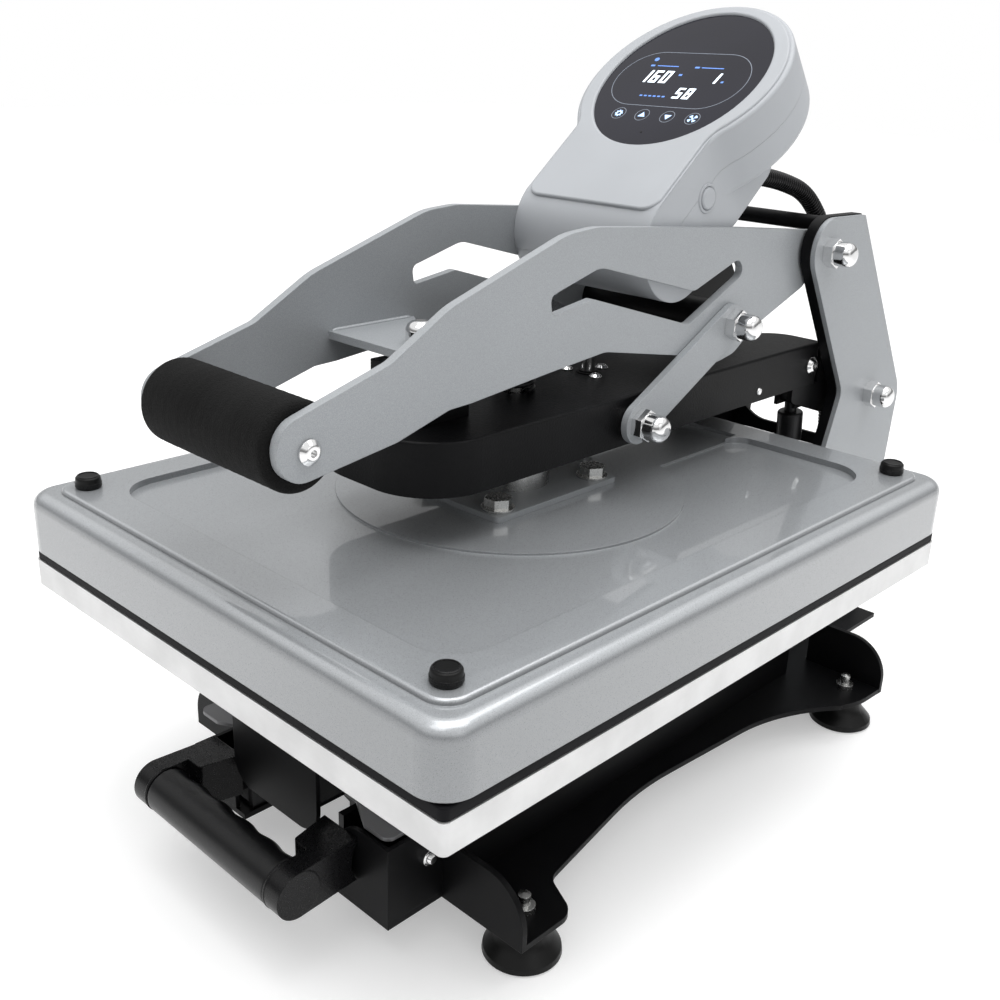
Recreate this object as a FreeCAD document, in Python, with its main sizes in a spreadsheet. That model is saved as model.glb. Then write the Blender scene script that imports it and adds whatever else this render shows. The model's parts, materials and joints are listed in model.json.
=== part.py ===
import FreeCAD, Part

import math
import os

from FreeCAD import Placement, Rotation, Vector

# A drawer-type clamshell heat press with a 40 x 50 cm platen, closed.
#
# Everything is drawn in the press frame: the origin is the centre of the lower platen's top
# face, X points to the operator's right, Y to the rear and Z up, in millimetres. Each finished
# piece is then moved by one common step, so that the model stands on the XY plane and its
# bounding box is centred on the origin.

doc = FreeCAD.newDocument("heat_press")

DRIVING_DIMENSIONS = {
    # where the press frame stands in the model frame
    "platen_top_height": 180.0,
    "platen_centre_setback": 78.5,
    # platens
    "platen_width": 400.0,
    "platen_length": 500.0,
    "lower_platen_thickness": 18.3,
    "lower_platen_corner": 4.0,
    "pad_thickness": 8.0,
    "closing_gap": 0.4,
    "heating_plate_thickness": 18.0,
    "heating_plate_corner": 18.0,
    "cover_overhang_x": 2.8,
    "cover_overhang_y": 3.4,
    "cover_corner_radius": 20.0,
    "cover_skirt_bottom": 9.8,
    "cover_top": 52.0,
    "cover_ledge_drop": 3.0,
    "cover_ledge_width": 15.0,
    "cover_shoulder_radius": 9.0,
    "cover_step_radius": 2.4,
    "cover_wall": 2.0,
    "cover_recess_depth": 4.5,
    "cover_recess_half_width": 161.0,
    "cover_recess_half_length": 210.0,
    "cover_recess_corner": 28.0,
    "cover_boss_radius": 120.0,
    "cover_boss_drop": 2.0,
    "cover_spine_half_width": 46.0,
    "insulation_thickness": 14.0,
    "corner_cap_radius": 8.0,
    "corner_cap_height": 8.0,
    "corner_cap_x": 171.0,
    "corner_cap_y": 222.0,
    # mounting of the upper platen on the arm
    "mounting_plate_half_width": 46.5,
    "mounting_plate_half_length": 60.0,
    "mounting_plate_thickness": 4.0,
    "platen_bolt_x": 34.0,
    "platen_bolt_y": 47.0,
    "spacer_radius": 27.0,
    "pressure_screw_radius": 8.0,
    "pressure_screw_top": 165.0,
    "spring_radius": 12.8,
    "spring_wire_radius": 1.7,
    "spring_turns": 5.0,
    "spring_height": 24.0,
    "knob_hub_radius": 14.0,
    "knob_radius": 36.0,
    "knob_hub_height": 9.0,
    "knob_height": 30.0,
    "guide_rod_radius": 5.0,
    "guide_rod_x": 2.0,
    "guide_rod_y": 75.0,
    "guide_rod_top": 150.0,
    "guide_flange_radius": 9.0,
    "guide_flange_thickness": 1.0,
    "guide_screw_circle": 15.5,
    # pressing arm
    "arm_half_width": 60.0,
    "arm_bottom": 82.0,
    "arm_thickness": 34.5,
    "arm_front": -134.5,
    "arm_rear": 302.0,
    "arm_nose_radius": 45.0,
    "arm_notch_half_width": 7.0,
    "arm_notch_bottom": 272.0,
    "arm_edge_radius": 2.0,
    "bracket_thickness": 4.5,
    "bracket_outer_face": 60.0,
    "arm_pivot_y": 359.1,
    "arm_pivot_z": 66.6,
    # lever
    "lever_inner_face": 58.3,
    "lever_plate_thickness": 6.0,
    "lever_pivot_y": 259.2,
    "lever_pivot_z": 194.5,
    "grip_y": -218.7,
    "grip_z": 137.1,
    "grip_radius": 25.0,
    "grip_tube_radius": 12.5,
    "grip_tube_wall": 2.0,
    "cross_plate_top": 161.0,
    "cross_plate_thickness": 5.0,
    "magnet_y": -85.0,
    "magnet_half_width": 24.0,
    "magnet_half_length": 21.0,
    "armature_radius": 19.0,
    "armature_thickness": 6.0,
    # toggle links
    "link_inner_face": 64.6,
    "link_thickness": 5.0,
    "link_end_radius": 14.2,
    "link_lever_pivot_y": 150.6,
    "link_lever_pivot_z": 152.8,
    "link_arm_pivot_y": 50.6,
    "link_arm_pivot_z": 99.0,
    # fasteners
    "pivot_bolt_radius": 6.0,
    "pivot_hole_radius": 6.06,
    "hex_nut_across_corners": 22.4,
    "hex_nut_height": 8.0,
    "acorn_nut_radius": 9.2,
    "acorn_nut_height": 14.0,
    "bolt_end": 3.6,
    "cross_tube_radius": 14.5,
    "cross_tube_bore": 11.6,
    "button_head_radius": 7.0,
    "button_head_height": 4.5,
    "screw_radius": 3.0,
    # posts
    "post_inner_face": 66.3,
    "post_frame_thickness": 8.0,
    "post_cover_thickness": 4.0,
    "tie_bar_radius": 6.0,
    "tie_bar_y": 281.0,
    "tie_bar_z": 211.5,
    # base
    "base_plate_top": -150.0,
    "base_plate_thickness": 4.0,
    "base_half_width": 168.0,
    "base_waist": 116.0,
    "base_front": -155.0,
    "base_rear": 278.0,
    "base_tongue_half_width": 101.0,
    "base_tongue_front": -198.0,
    "base_tongue_rear": 402.0,
    "tongue_notch_half_width": 44.0,
    "tongue_notch_rear": -120.0,
    "flange_thickness": 4.0,
    "foot_x": 146.0,
    "foot_front_y": -130.0,
    "foot_rear_y": 256.0,
    "foot_radius": 24.6,
    "foot_bolt_radius": 4.0,
    # drawer
    "housing_outer_face": 101.0,
    "housing_wall": 3.0,
    "housing_top": -98.0,
    "housing_left_top": -122.0,
    "housing_rear": 240.0,
    "ear_inner_edge": 54.0,
    "carriage_half_width": 97.0,
    "carriage_front": -195.0,
    "carriage_rear": 200.0,
    "carriage_thickness": 2.5,
    "carriage_top": -94.0,
    "rail_inner_face": 46.0,
    "rail_thickness": 5.0,
    "runner_thickness": 7.6,
    "column_radius": 14.0,
    "column_x": 78.0,
    "column_y": 150.0,
    "front_panel_half_width": 43.0,
    "front_panel_front": -204.0,
    "front_panel_thickness": 3.0,
    "pull_y": -242.5,
    "pull_z": -118.0,
    "pull_radius": 15.0,
    "pull_half_length": 76.5,
    "pull_arm_rear": -198.6,
    "pull_grip_half_length": 62.0,
    # gas springs
    "gas_spring_x": 45.0,
    "gas_top_y": 300.0,
    "gas_top_z": 70.0,
    "gas_foot_y": 312.0,
    "gas_foot_z": -132.0,
    "gas_body_radius": 10.5,
    "gas_rod_radius": 4.0,
    "gas_pin_radius": 3.5,
    "gas_body_length": 130.0,
    # console
    "screen_centre_y": 160.8,
    "screen_centre_z": 314.3,
    "screen_tilt": 39.3,
    "screen_half_width": 64.3,
    "screen_half_height": 68.5,
    "screen_thickness": 2.5,
    "head_radius": 79.5,
    "head_depth": 52.0,
    "console_wall": 3.0,
    "console_split_depth": 26.0,
    "neck_half_width": 58.2,
    "neck_fillet": 27.0,
    "neck_reach": 78.0,
    "barrel_radius": 37.5,
    "barrel_y": 94.0,
    "barrel_z": 211.0,
    "button_y": 121.0,
    "button_z": 240.6,
    "button_radius": 7.4,
    "board_radius": 58.0,
    # cable hose
    "hose_x": 25.0,
    "hose_radius": 7.0,
    # rear electrics
    "rear_plate_y": 381.0,
    "terminal_box_depth": 30.0,
}


def fill_sheet(dimensions):
    """Write each driving dimension to its own aliased cell as plain text."""
    sheet_object = doc.addObject("Spreadsheet::Sheet", "Dimensions")
    for row, (alias, value) in enumerate(dimensions.items(), start=1):
        sheet_object.set(f"A{row}", alias)
        sheet_object.set(f"B{row}", str(value))
        sheet_object.setAlias(f"B{row}", alias)
    doc.recompute()
    return sheet_object


sheet = fill_sheet(DRIVING_DIMENSIONS)


def size(alias):
    """A driving dimension, read back from the sheet."""
    return float(sheet.get(alias))


STAND = Vector(0, -size("platen_centre_setback"), size("platen_top_height"))
AXIS_X = Vector(1, 0, 0)
AXIS_Y = Vector(0, 1, 0)
AXIS_Z = Vector(0, 0, 1)
LEFT = -1
RIGHT = 1
SIDES = {"left": LEFT, "right": RIGHT}

nodes = []


# ---------------------------------------------------------------- drawing helpers

def bind(target, prop, expression):
    """Tie a property to the sheet: words in the expression that are aliases become references."""
    words = expression.replace("(", " ( ").replace(")", " ) ").split()
    linked = ["Dimensions." + word if word in DRIVING_DIMENSIONS else word for word in words]
    target.setExpression(prop, " ".join(linked))


def finish(target, label):
    """Name a finished piece and stand it in the model frame."""
    target.Label = label
    base = target.Placement.Base
    target.Placement = Placement(base + STAND, target.Placement.Rotation)
    nodes.append((label, target))
    return target


def corner_arc(before, corner, after, radius):
    """Tangent points and middle point of the arc that rounds one corner."""
    to_before = (before - corner).normalize()
    to_after = (after - corner).normalize()
    half_angle = to_before.getAngle(to_after) / 2
    reach = radius / math.tan(half_angle)
    start = corner + to_before * reach
    end = corner + to_after * reach
    bisector = (to_before + to_after).normalize()
    centre = corner + bisector * (radius / math.sin(half_angle))
    return start, centre - bisector * radius, end


def outline_edges(corners):
    """Lines and tangent arcs of a closed outline; each corner is (a, b) or (a, b, radius)."""
    points = [Vector(corner[0], corner[1], 0) for corner in corners]
    radii = [corner[2] if len(corner) > 2 else 0 for corner in corners]
    edges = []
    starts = []
    ends = []
    count = len(points)
    for index, (point, radius) in enumerate(zip(points, radii)):
        if radius > 0:
            start, middle, end = corner_arc(points[index - 1], point, points[(index + 1) % count], radius)
            edges.append(Part.Arc(start, middle, end))
        else:
            start = end = point
        starts.append(start)
        ends.append(end)
    for index in range(count):
        begin = ends[index]
        finish_point = starts[(index + 1) % count]
        if begin.distanceToPoint(finish_point) > 1e-6:
            edges.append(Part.LineSegment(begin, finish_point))
    return edges


def mirrored_outline(half):
    """An outline given for X > 0, from front to rear, closed by its mirror image."""
    return list(half) + [(-corner[0], *corner[1:]) for corner in reversed(half)]


def sketch_on(body, plane_role, edges, circles=()):
    """A sketch on one of the body's origin planes, with its outline and round holes."""
    sketch = body.newObject("Sketcher::SketchObject", body.Name + "_sketch")
    plane = next(feature for feature in body.Origin.OriginFeatures if feature.Role == plane_role)
    sketch.AttachmentSupport = [(plane, "")]
    sketch.MapMode = "FlatFace"
    for edge in edges:
        sketch.addGeometry(edge, False)
    for a, b, radius in circles:
        sketch.addGeometry(Part.Circle(Vector(a, b, 0), AXIS_Z, radius), False)
    return sketch


def plate(name, plane_role, corners, length, position, circles=(), windows=()):
    """A PartDesign body: an outline with holes and windows, padded to a length from the sheet."""
    body = doc.addObject("PartDesign::Body", name)
    edges = outline_edges(corners)
    for window in windows:
        edges += outline_edges(window)
    sketch = sketch_on(body, plane_role, edges, circles)
    pad = body.newObject("PartDesign::Pad", name + "_pad")
    pad.Profile = sketch
    bind(pad, "Length", length)
    body.Tip = pad
    body.Placement = Placement(position, Rotation())
    return body


def turned(name, half_profile, position, direction=AXIS_Z):
    """A PartDesign revolution: corners are (radius, height) about the body's own Z axis."""
    body = doc.addObject("PartDesign::Body", name)
    sketch = sketch_on(body, "XZ_Plane", outline_edges(half_profile))
    revolution = body.newObject("PartDesign::Revolution", name + "_revolution")
    revolution.Profile = sketch
    revolution.ReferenceAxis = (sketch, ["V_Axis"])
    revolution.Angle = 360
    body.Tip = revolution
    body.Placement = Placement(position, Rotation(AXIS_Z, direction))
    return body


def round_edges(body, radius, chosen):
    """A PartDesign fillet on the edges of the body's tip that the test picks out."""
    doc.recompute()
    tip = body.Tip
    names = [f"Edge{number}" for number, edge in enumerate(tip.Shape.Edges, start=1) if chosen(edge)]
    fillet = body.newObject("PartDesign::Fillet", body.Name + "_fillet")
    fillet.Base = (tip, names)
    fillet.Radius = radius
    body.Tip = fillet
    return fillet


def cylinder(name, radius, height, position, direction=AXIS_Z):
    """A Part cylinder from a position along a direction; sizes are sheet expressions."""
    solid = doc.addObject("Part::Cylinder", name)
    bind(solid, "Radius", radius)
    bind(solid, "Height", height)
    solid.Placement = Placement(position, Rotation(AXIS_Z, direction))
    return solid


def box(name, low, high):
    """A Part box between two opposite corners."""
    solid = doc.addObject("Part::Box", name)
    solid.Length = high.x - low.x
    solid.Width = high.y - low.y
    solid.Height = high.z - low.z
    solid.Placement = Placement(low, Rotation())
    return solid


def fuse(name, solids):
    joined = doc.addObject("Part::MultiFuse", name)
    joined.Shapes = solids
    return joined


def cut(name, base, tools):
    tool = tools[0] if len(tools) == 1 else fuse(name + "_tools", tools)
    result = doc.addObject("Part::Cut", name)
    result.Base = base
    result.Tool = tool
    return result


def group(name, solids):
    """Separate solids that share one node."""
    compound = doc.addObject("Part::Compound", name)
    compound.Links = solids
    return compound


def hexagon(across_corners):
    """Corners of a hexagon, for nuts and bolt heads."""
    reach = across_corners / 2
    return [(reach * math.cos(math.radians(60 * k)),
             reach * math.sin(math.radians(60 * k))) for k in range(6)]


def hex_prism(name, across_corners, height, position, direction, hole_radius=0):
    body = doc.addObject("PartDesign::Body", name)
    circles = [(0, 0, hole_radius)] if hole_radius else []
    sketch = sketch_on(body, "XY_Plane", outline_edges(hexagon(across_corners)), circles)
    pad = body.newObject("PartDesign::Pad", name + "_pad")
    pad.Profile = sketch
    bind(pad, "Length", height)
    body.Tip = pad
    body.Placement = Placement(position, Rotation(AXIS_Z, direction))
    return body


def acorn_nut(name, position, direction):
    """Domed nut: a short collar and a rounded cap, resting on the hex nut below it."""
    radius = size("acorn_nut_radius")
    height = size("acorn_nut_height")
    bolt = size("pivot_bolt_radius")
    seat = height - radius - 1
    return turned(name, [(bolt, 0), (radius, 0), (radius, height, radius * 0.72), (0, height), (0,
                                                                                                seat), (bolt, seat)],
                  position, direction)


def button_screw(name, position, direction, shank=12.0):
    """Button-head screw with its socket; the head stands on the position."""
    head = size("button_head_radius")
    height = size("button_head_height")
    shaft = size("screw_radius")
    socket = 2.0
    below = [(0, -shank), (shaft, -shank), (shaft, 0)] if shank else [(0, 0)]
    profile = below + [(head, 0), (head, height * 0.4), (head * 0.6, height, 2), (socket, height),
                       (socket, height * 0.35), (0, height * 0.35)]
    return turned(name, profile, position, direction)


def outward(side):
    return Vector(side, 0, 0)


# ---------------------------------------------------------------- base and feet

def build_base():
    """Folded sheet: a waisted plate, a front tongue, a rear tongue and turned-up end flanges."""
    half_width = size("base_half_width")
    waist = size("base_waist")
    front = size("base_front")
    rear = size("base_rear")
    tongue = size("base_tongue_half_width")
    waist_y = (front + rear) / 2 - 22
    notch = size("tongue_notch_half_width")
    half = [(notch, size("tongue_notch_rear"), 8), (notch, size("base_tongue_front")),
            (tongue, size("base_tongue_front")), (tongue, front), (half_width, front),
            (half_width, front + 44, 14), (half_width - 30, front + 58, 14), (waist, waist_y - 20, 260),
            (waist + 12, rear - 90, 160), (half_width - 2, rear - 44, 60), (half_width, rear),
            (tongue - 4, rear), (tongue - 4, size("base_tongue_rear"))]
    bottom = size("base_plate_top") - size("base_plate_thickness")
    holes = [(side * size("foot_x"), y, size("foot_bolt_radius") + 0.05)
             for side in SIDES.values() for y in (size("foot_front_y"), size("foot_rear_y"))]
    sheet_plate = plate("base_sheet", "XY_Plane", mirrored_outline(half), "base_plate_thickness",
                        Vector(0, 0, bottom), holes)
    flanges = []
    flange_height = 42
    for side_name, side in SIDES.items():
        for end_name, face in (("front", front), ("rear", rear - size("flange_thickness"))):
            inner = tongue if end_name == "front" else tongue - 1
            corners = [(side * inner, bottom), (side * half_width, bottom),
                       (side * half_width, bottom + flange_height, 30), (side * inner,
                                                                         bottom + flange_height)]
            flanges.append(plate(f"base_flange_{end_name}_{side_name}", "XZ_Plane", corners,
                                 "flange_thickness", Vector(0, face + size("flange_thickness"), 0)))
    ears = []
    for side in SIDES.values():
        # clevis ears that hold the foot of each gas spring
        for offset in (-9.5, 6.5):
            low = Vector(side * size("gas_spring_x") + offset, size("gas_foot_y") - 11,
                         size("base_plate_top") - 1)
            ear = box("gas_foot_ear_blank", low, low + Vector(3, 22, 30))
            bore = cylinder("gas_foot_bore", "gas_pin_radius", "4",
                            Vector(low.x - 0.5, size("gas_foot_y"), size("gas_foot_z")), AXIS_X)
            ears.append(cut("gas_foot_ear", ear, [bore]))
    finish(fuse("base_plate", [sheet_plate] + flanges + ears), "base_plate")


def foot_places():
    return [Vector(side * size("foot_x"), y, 0)
            for side in SIDES.values() for y in (size("foot_front_y"), size("foot_rear_y"))]


def build_feet():
    """Four flared rubber feet, each on a bolt that comes up through the base."""
    floor = -size("platen_top_height")
    top = size("base_plate_top") - size("base_plate_thickness") - floor
    radius = size("foot_radius")
    bolt = size("foot_bolt_radius")
    feet = []
    bolts = []
    for number, place in enumerate(foot_places(), start=1):
        profile = [(bolt, 3), (bolt, 0.0), (radius - 2, 0), (radius, 1.5), (radius - 0.5, 5), (16, 14,
                                                                                               14), (13,
                                                                                                     top),
                   (bolt, top)]
        feet.append(turned(f"foot_{number}", profile, place + Vector(0, 0, floor)))
        bolt_profile = [(0, 4), (bolt, 4), (bolt, top + 4), (bolt + 3, top + 4), (bolt + 3, top + 8),
                        (bolt, top + 8.5), (bolt, top + 15), (0, top + 16)]
        bolts.append(turned(f"foot_bolt_{number}", bolt_profile, place + Vector(0, 0, floor)))
    finish(group("rubber_feet", feet), "rubber_feet")
    finish(group("foot_bolts", bolts), "foot_bolts")


def build_drawer_housing():
    """Side walls of the drawer bay, each with a front ear whose inner top corner is rounded."""
    wall = size("housing_wall")
    outer = size("housing_outer_face")
    bottom = size("base_plate_top")
    front = size("base_tongue_front")
    rear = size("housing_rear")
    for side_name, side in SIDES.items():
        top = size("housing_top") if side == RIGHT else size("housing_left_top")
        wall_low = Vector(min(side * outer, side * (outer - wall)), front, bottom)
        wall_high = Vector(max(side * outer, side * (outer - wall)), rear, top)
        side_wall = box(f"housing_wall_{side_name}", wall_low, wall_high)
        ear = plate(f"housing_ear_{side_name}", "XZ_Plane",
                    [(side * size("ear_inner_edge"), bottom), (side * outer, bottom), (side * outer, top),
                     (side * size("ear_inner_edge"), top, 22)],
                    "housing_wall", Vector(0, front + wall, 0))
        finish(fuse(f"drawer_housing_{side_name}", [side_wall, ear]), f"drawer_housing_{side_name}")


def build_drawer_rails():
    """Angle rails that stand on the base inside the drawer bay."""
    inner = size("rail_inner_face")
    thickness = size("rail_thickness")
    rails = []
    for side in SIDES.values():
        corners = [(side * inner, size("base_plate_top")), (side * (inner + 18), size("base_plate_top")),
                   (side * (inner + 18), size("base_plate_top") + 3), (side * (inner + thickness),
                                                                       size("base_plate_top") + 3),
                   (side * (inner + thickness), -104), (side * inner, -104)]
        rails.append(plate("drawer_rail", "XZ_Plane", corners, "housing_rear + carriage_rear - 15",
                           Vector(0, size("housing_rear") - 5, 0)))
    finish(group("drawer_rails", rails), "drawer_rails")


# ---------------------------------------------------------------- posts and rear

def post_outline(margin=0.0):
    """Side view (Y, Z) of a post; margin pulls the front and rear edges in."""
    bottom = size("base_plate_top")
    return [(216.5 + margin, 221.5 - margin, 25), (310 - margin, 219.7 - margin, 3), (417 - margin, 62, 32),
            (402 - margin, bottom), (240 + margin, bottom), (297 + margin, 33, 60), (311 + margin, 76, 14)]


def build_posts():
    """Each post: a thick black frame plate and a thinner grey cover plate on its outside."""
    holes = [(size("lever_pivot_y"), size("lever_pivot_z"), size("pivot_hole_radius")),
             (size("arm_pivot_y"), size("arm_pivot_z"), size("pivot_hole_radius"))]
    for side_name, side in SIDES.items():
        inner = size("post_inner_face")
        middle = inner + size("post_frame_thickness")
        outer = middle + size("post_cover_thickness")
        frame_x = inner if side == RIGHT else -middle
        cover_x = middle if side == RIGHT else -outer
        frame = plate(f"post_frame_{side_name}", "YZ_Plane", post_outline(), "post_frame_thickness",
                      Vector(frame_x, 0, 0), holes)
        cover = plate(f"post_cover_{side_name}", "YZ_Plane", post_outline(0.8), "post_cover_thickness",
                      Vector(cover_x, 0, 0), holes)
        finish(frame, f"post_frame_{side_name}")
        finish(cover, f"post_cover_{side_name}")
    inner = size("post_inner_face")
    tie_bar = cylinder("post_tie_bar", "tie_bar_radius", "2 * post_inner_face",
                       Vector(-inner, size("tie_bar_y"), size("tie_bar_z")), AXIS_X)
    finish(tie_bar, "post_tie_bar")


def build_rear():
    """Cross plate between the posts with the terminal box, mains inlet and switch behind it."""
    inner = size("post_inner_face")
    bottom = size("base_plate_top")
    rear_y = size("rear_plate_y")
    cross = plate("rear_crossplate", "XZ_Plane",
                  [(-inner, bottom), (inner, bottom), (inner, 30, 4), (40, 12, 30), (-40, 12, 30),
                   (-inner, 30, 4)],
                  "housing_wall", Vector(0, rear_y + size("housing_wall"), 0))
    finish(cross, "rear_crossplate")
    box_front = rear_y + size("housing_wall")
    box_rear = box_front + size("terminal_box_depth")
    shell = box("terminal_shell", Vector(-58, box_front, -142), Vector(58, box_rear, -58))
    cavity = box("terminal_cavity", Vector(-55.5, box_front + 2, -139.5), Vector(55.5, box_rear - 2, -60.5))
    inlet_hole = box("inlet_hole", Vector(-40, box_rear - 3, -112), Vector(-12, box_rear + 1, -88))
    switch_hole = box("switch_hole", Vector(14, box_rear - 3, -113), Vector(34, box_rear + 1, -87))
    hose_hole = cylinder("hose_hole", "hose_radius", "10", Vector(size("hose_x"), box_front + 14, -65))
    finish(cut("terminal_box", shell, [cavity, inlet_hole, switch_hole, hose_hole]), "terminal_box")
    inlet_body = box("inlet_body", Vector(-40, box_rear - 20, -112), Vector(-12, box_rear, -88))
    inlet_rim = box("inlet_rim", Vector(-43, box_rear, -115), Vector(-9, box_rear + 1.5, -85))
    socket = box("inlet_socket", Vector(-37, box_rear - 16, -109), Vector(-15, box_rear + 2, -91))
    pins = [box("inlet_pin", Vector(x - 1, box_rear - 17, -103), Vector(x + 1, box_rear - 3,
                                                                        -97)) for x in (-32, -26, -20)]
    inlet = fuse("power_inlet", [cut("inlet_shell", fuse("inlet_solid", [inlet_body, inlet_rim]),
                                     [socket])] + pins)
    finish(inlet, "power_inlet")
    # rocker: a shallow V seen from the side, turning about an X axis
    rocker = plate("power_switch", "YZ_Plane",
                   [(-7, -11.6), (1.2, -11.6), (2.4, 0), (4.4, 11.6), (-7, 11.6)], "20 - 0.6",
                   Vector(14.3, box_rear, -100))
    axle = cylinder("switch_axle", "1.5", "24", Vector(12, box_rear - 4, -100), AXIS_X)
    finish(fuse("power_switch_rocker", [rocker, axle]), "power_switch")


def build_pivots():
    """Bolts, hex nuts and acorn nuts of the lever pivot and the arm pivot, and the gas springs' foot pins."""
    post_face = size("post_inner_face")
    cover_face = post_face + size("post_frame_thickness") + size("post_cover_thickness")
    bolts = []
    nuts = []
    for y, z, grip in ((size("lever_pivot_y"), size("lever_pivot_z"), size("lever_inner_face") - 0.4),
                       (size("arm_pivot_y"), size("arm_pivot_z"), size("bracket_outer_face")
                        - size("bracket_thickness") - 0.4)):
        for side in SIDES.values():
            away = outward(side)
            head = hex_prism("pivot_head", 19.6, "5", Vector(side * (grip - 5), y, z), away)
            shank = cylinder("pivot_shank", "pivot_bolt_radius", "10", Vector(side * grip, y, z), away)
            shank.setExpression("Height", None)
            shank.Height = cover_face + size("hex_nut_height") + size("bolt_end") - grip
            pieces = [head, shank]
            if z < size("arm_bottom"):
                washer_start = size("bracket_outer_face") + 0.4
                washer = cylinder("pivot_spacer", "9", "1", Vector(side * washer_start, y, z), away)
                washer.setExpression("Height", None)
                washer.Height = post_face - washer_start
                pieces.append(washer)
            bolts.append(fuse("pivot_bolt", pieces))
            nuts.append(hex_prism("pivot_nut", size("hex_nut_across_corners"), "hex_nut_height",
                                  Vector(side * cover_face, y, z), away, size("pivot_bolt_radius")))
            nuts.append(acorn_nut("pivot_acorn", Vector(side * (cover_face + size("hex_nut_height")), y,
                                                        z), away))
    for side in SIDES.values():
        place = Vector(side * size("gas_spring_x") - 11, size("gas_foot_y"), size("gas_foot_z"))
        bolts.append(cylinder("gas_foot_pin", "gas_pin_radius", "22", place, AXIS_X))
    finish(group("pivot_bolts", bolts), "pivot_bolts")
    finish(group("pivot_nuts", nuts), "pivot_nuts")


# ---------------------------------------------------------------- lever

def lever_outline():
    """Side view (Y, Z) of a lever plate, from the grip end along the top and back underneath."""
    return [(-238.5, 152, 17), (-164, 173.6, 20), (-121, 198, 60), (-27, 229.5, 60), (0, 231.5, 60),
            (144.5, 220.4, 60), (278, 207.6, 12), (268, 181, 12), (250, 167.3, 8), (188, 145, 10),
            (164, 129, 20), (142, 125, 20), (99, 137.1, 12), (15, 152.5, 30), (-38, 147.7, 30),
            (-104, 141, 12), (-121, 140.3, 12), (-159.5, 129.4, 30), (-237.5, 118.5, 17)]


def lever_slot():
    """The long bent slot under the top edge."""
    return [(-38, 182.2, 3), (-40, 194.5, 5), (-27, 198, 10), (5, 207, 22), (107, 180.5, 12), (158,
                                                                                               197.5, 7),
            (168, 187, 6), (104, 157.8, 9), (0, 188, 6)]


def build_lever_plates():
    holes = [(size("lever_pivot_y"), size("lever_pivot_z"), size("pivot_hole_radius")),
             (size("link_lever_pivot_y"), size("link_lever_pivot_z"), size("pivot_hole_radius")),
             (size("grip_y"), size("grip_z"), size("screw_radius") + 0.05)]
    inner = size("lever_inner_face")
    outer = inner + size("lever_plate_thickness")
    for side_name, side in SIDES.items():
        x = inner if side == RIGHT else -outer
        body = plate(f"lever_plate_{side_name}", "YZ_Plane", lever_outline(), "lever_plate_thickness",
                     Vector(x, 0, 0), holes, [lever_slot()])
        finish(body, f"lever_plate_{side_name}")


def build_grip():
    """Foam grip on a steel tube between the lever plates, held by a screw at each end."""
    inner = size("lever_inner_face")
    centre = Vector(-inner, size("grip_y"), size("grip_z"))
    radius = size("grip_radius")
    tube = size("grip_tube_radius")
    length = 2 * inner
    foam = turned("grip_foam", [(tube, 0.3), (radius, 0.3, 3), (radius, length - 0.3, 3), (tube,
                                                                                           length - 0.3)],
                  centre, AXIS_X)
    finish(foam, "grip_foam")
    bore = tube - size("grip_tube_wall")
    screw = size("screw_radius")
    plug = 12.0
    steel = turned("grip_tube", [(screw, 0), (tube, 0), (tube, length), (screw, length), (screw,
                                                                                          length - plug),
                                 (bore, length - plug), (bore, plug), (screw, plug)], centre, AXIS_X)
    finish(steel, "grip_tube")
    outer = inner + size("lever_plate_thickness")
    screws = [button_screw("grip_screw", Vector(side * outer, size("grip_y"), size("grip_z")),
                           outward(side), 16.0)
              for side in SIDES.values()]
    finish(group("grip_screws", screws), "grip_screws")


def build_cross_plate():
    """Plate welded between the lever plates, flared where it meets them, with the armature below."""
    inner = size("lever_inner_face")
    thickness = size("cross_plate_thickness")
    top = size("cross_plate_top")
    y = size("magnet_y")
    half = [(inner, -109.5), (inner, -38), (34, -54)]
    bolt = size("pivot_bolt_radius")
    cross = plate("lever_cross_plate", "XY_Plane", mirrored_outline(half), "cross_plate_thickness",
                  Vector(0, 0, top - thickness), [(0, y, bolt)])
    finish(cross, "lever_cross_plate")
    under = top - thickness
    disc_profile = [(bolt, 0), (size("armature_radius"), 0, 1.0), (size("armature_radius"),
                                                                   size("armature_thickness")),
                    (bolt, size("armature_thickness"))]
    disc = turned("armature_disc", disc_profile, Vector(0, y, under - size("armature_thickness")))
    shank_bottom = under - size("armature_thickness") + 0.5
    shank = cylinder("armature_shank", "pivot_bolt_radius",
                     "cross_plate_thickness + armature_thickness - 0.5 + bolt_end",
                     Vector(0, y, shank_bottom))
    nut = acorn_nut("armature_acorn", Vector(0, y, top), AXIS_Z)
    finish(group("armature", [disc, shank, nut]), "armature")
    tube_half = inner - 0.05
    tube = turned("lever_cross_tube", [(size("cross_tube_bore"), 0), (size("cross_tube_radius"), 0),
                                       (size("cross_tube_radius"), 2 * tube_half),
                                       (size("cross_tube_bore"), 2 * tube_half)],
                  Vector(-tube_half, size("link_lever_pivot_y"), size("link_lever_pivot_z")), AXIS_X)
    finish(tube, "lever_cross_tube")


# ---------------------------------------------------------------- console

def screen_frame(depth=0.0, right=0.0, up=0.0):
    """A point in the tilted screen frame: depth behind the glass, right and up across it."""
    tilt = math.radians(size("screen_tilt"))
    normal = Vector(0, -math.sin(tilt), math.cos(tilt))
    slope = Vector(0, math.cos(tilt), math.sin(tilt))
    centre = Vector(0, size("screen_centre_y"), size("screen_centre_z"))
    return centre + Vector(right, 0, 0) + slope * up - normal * depth


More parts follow.
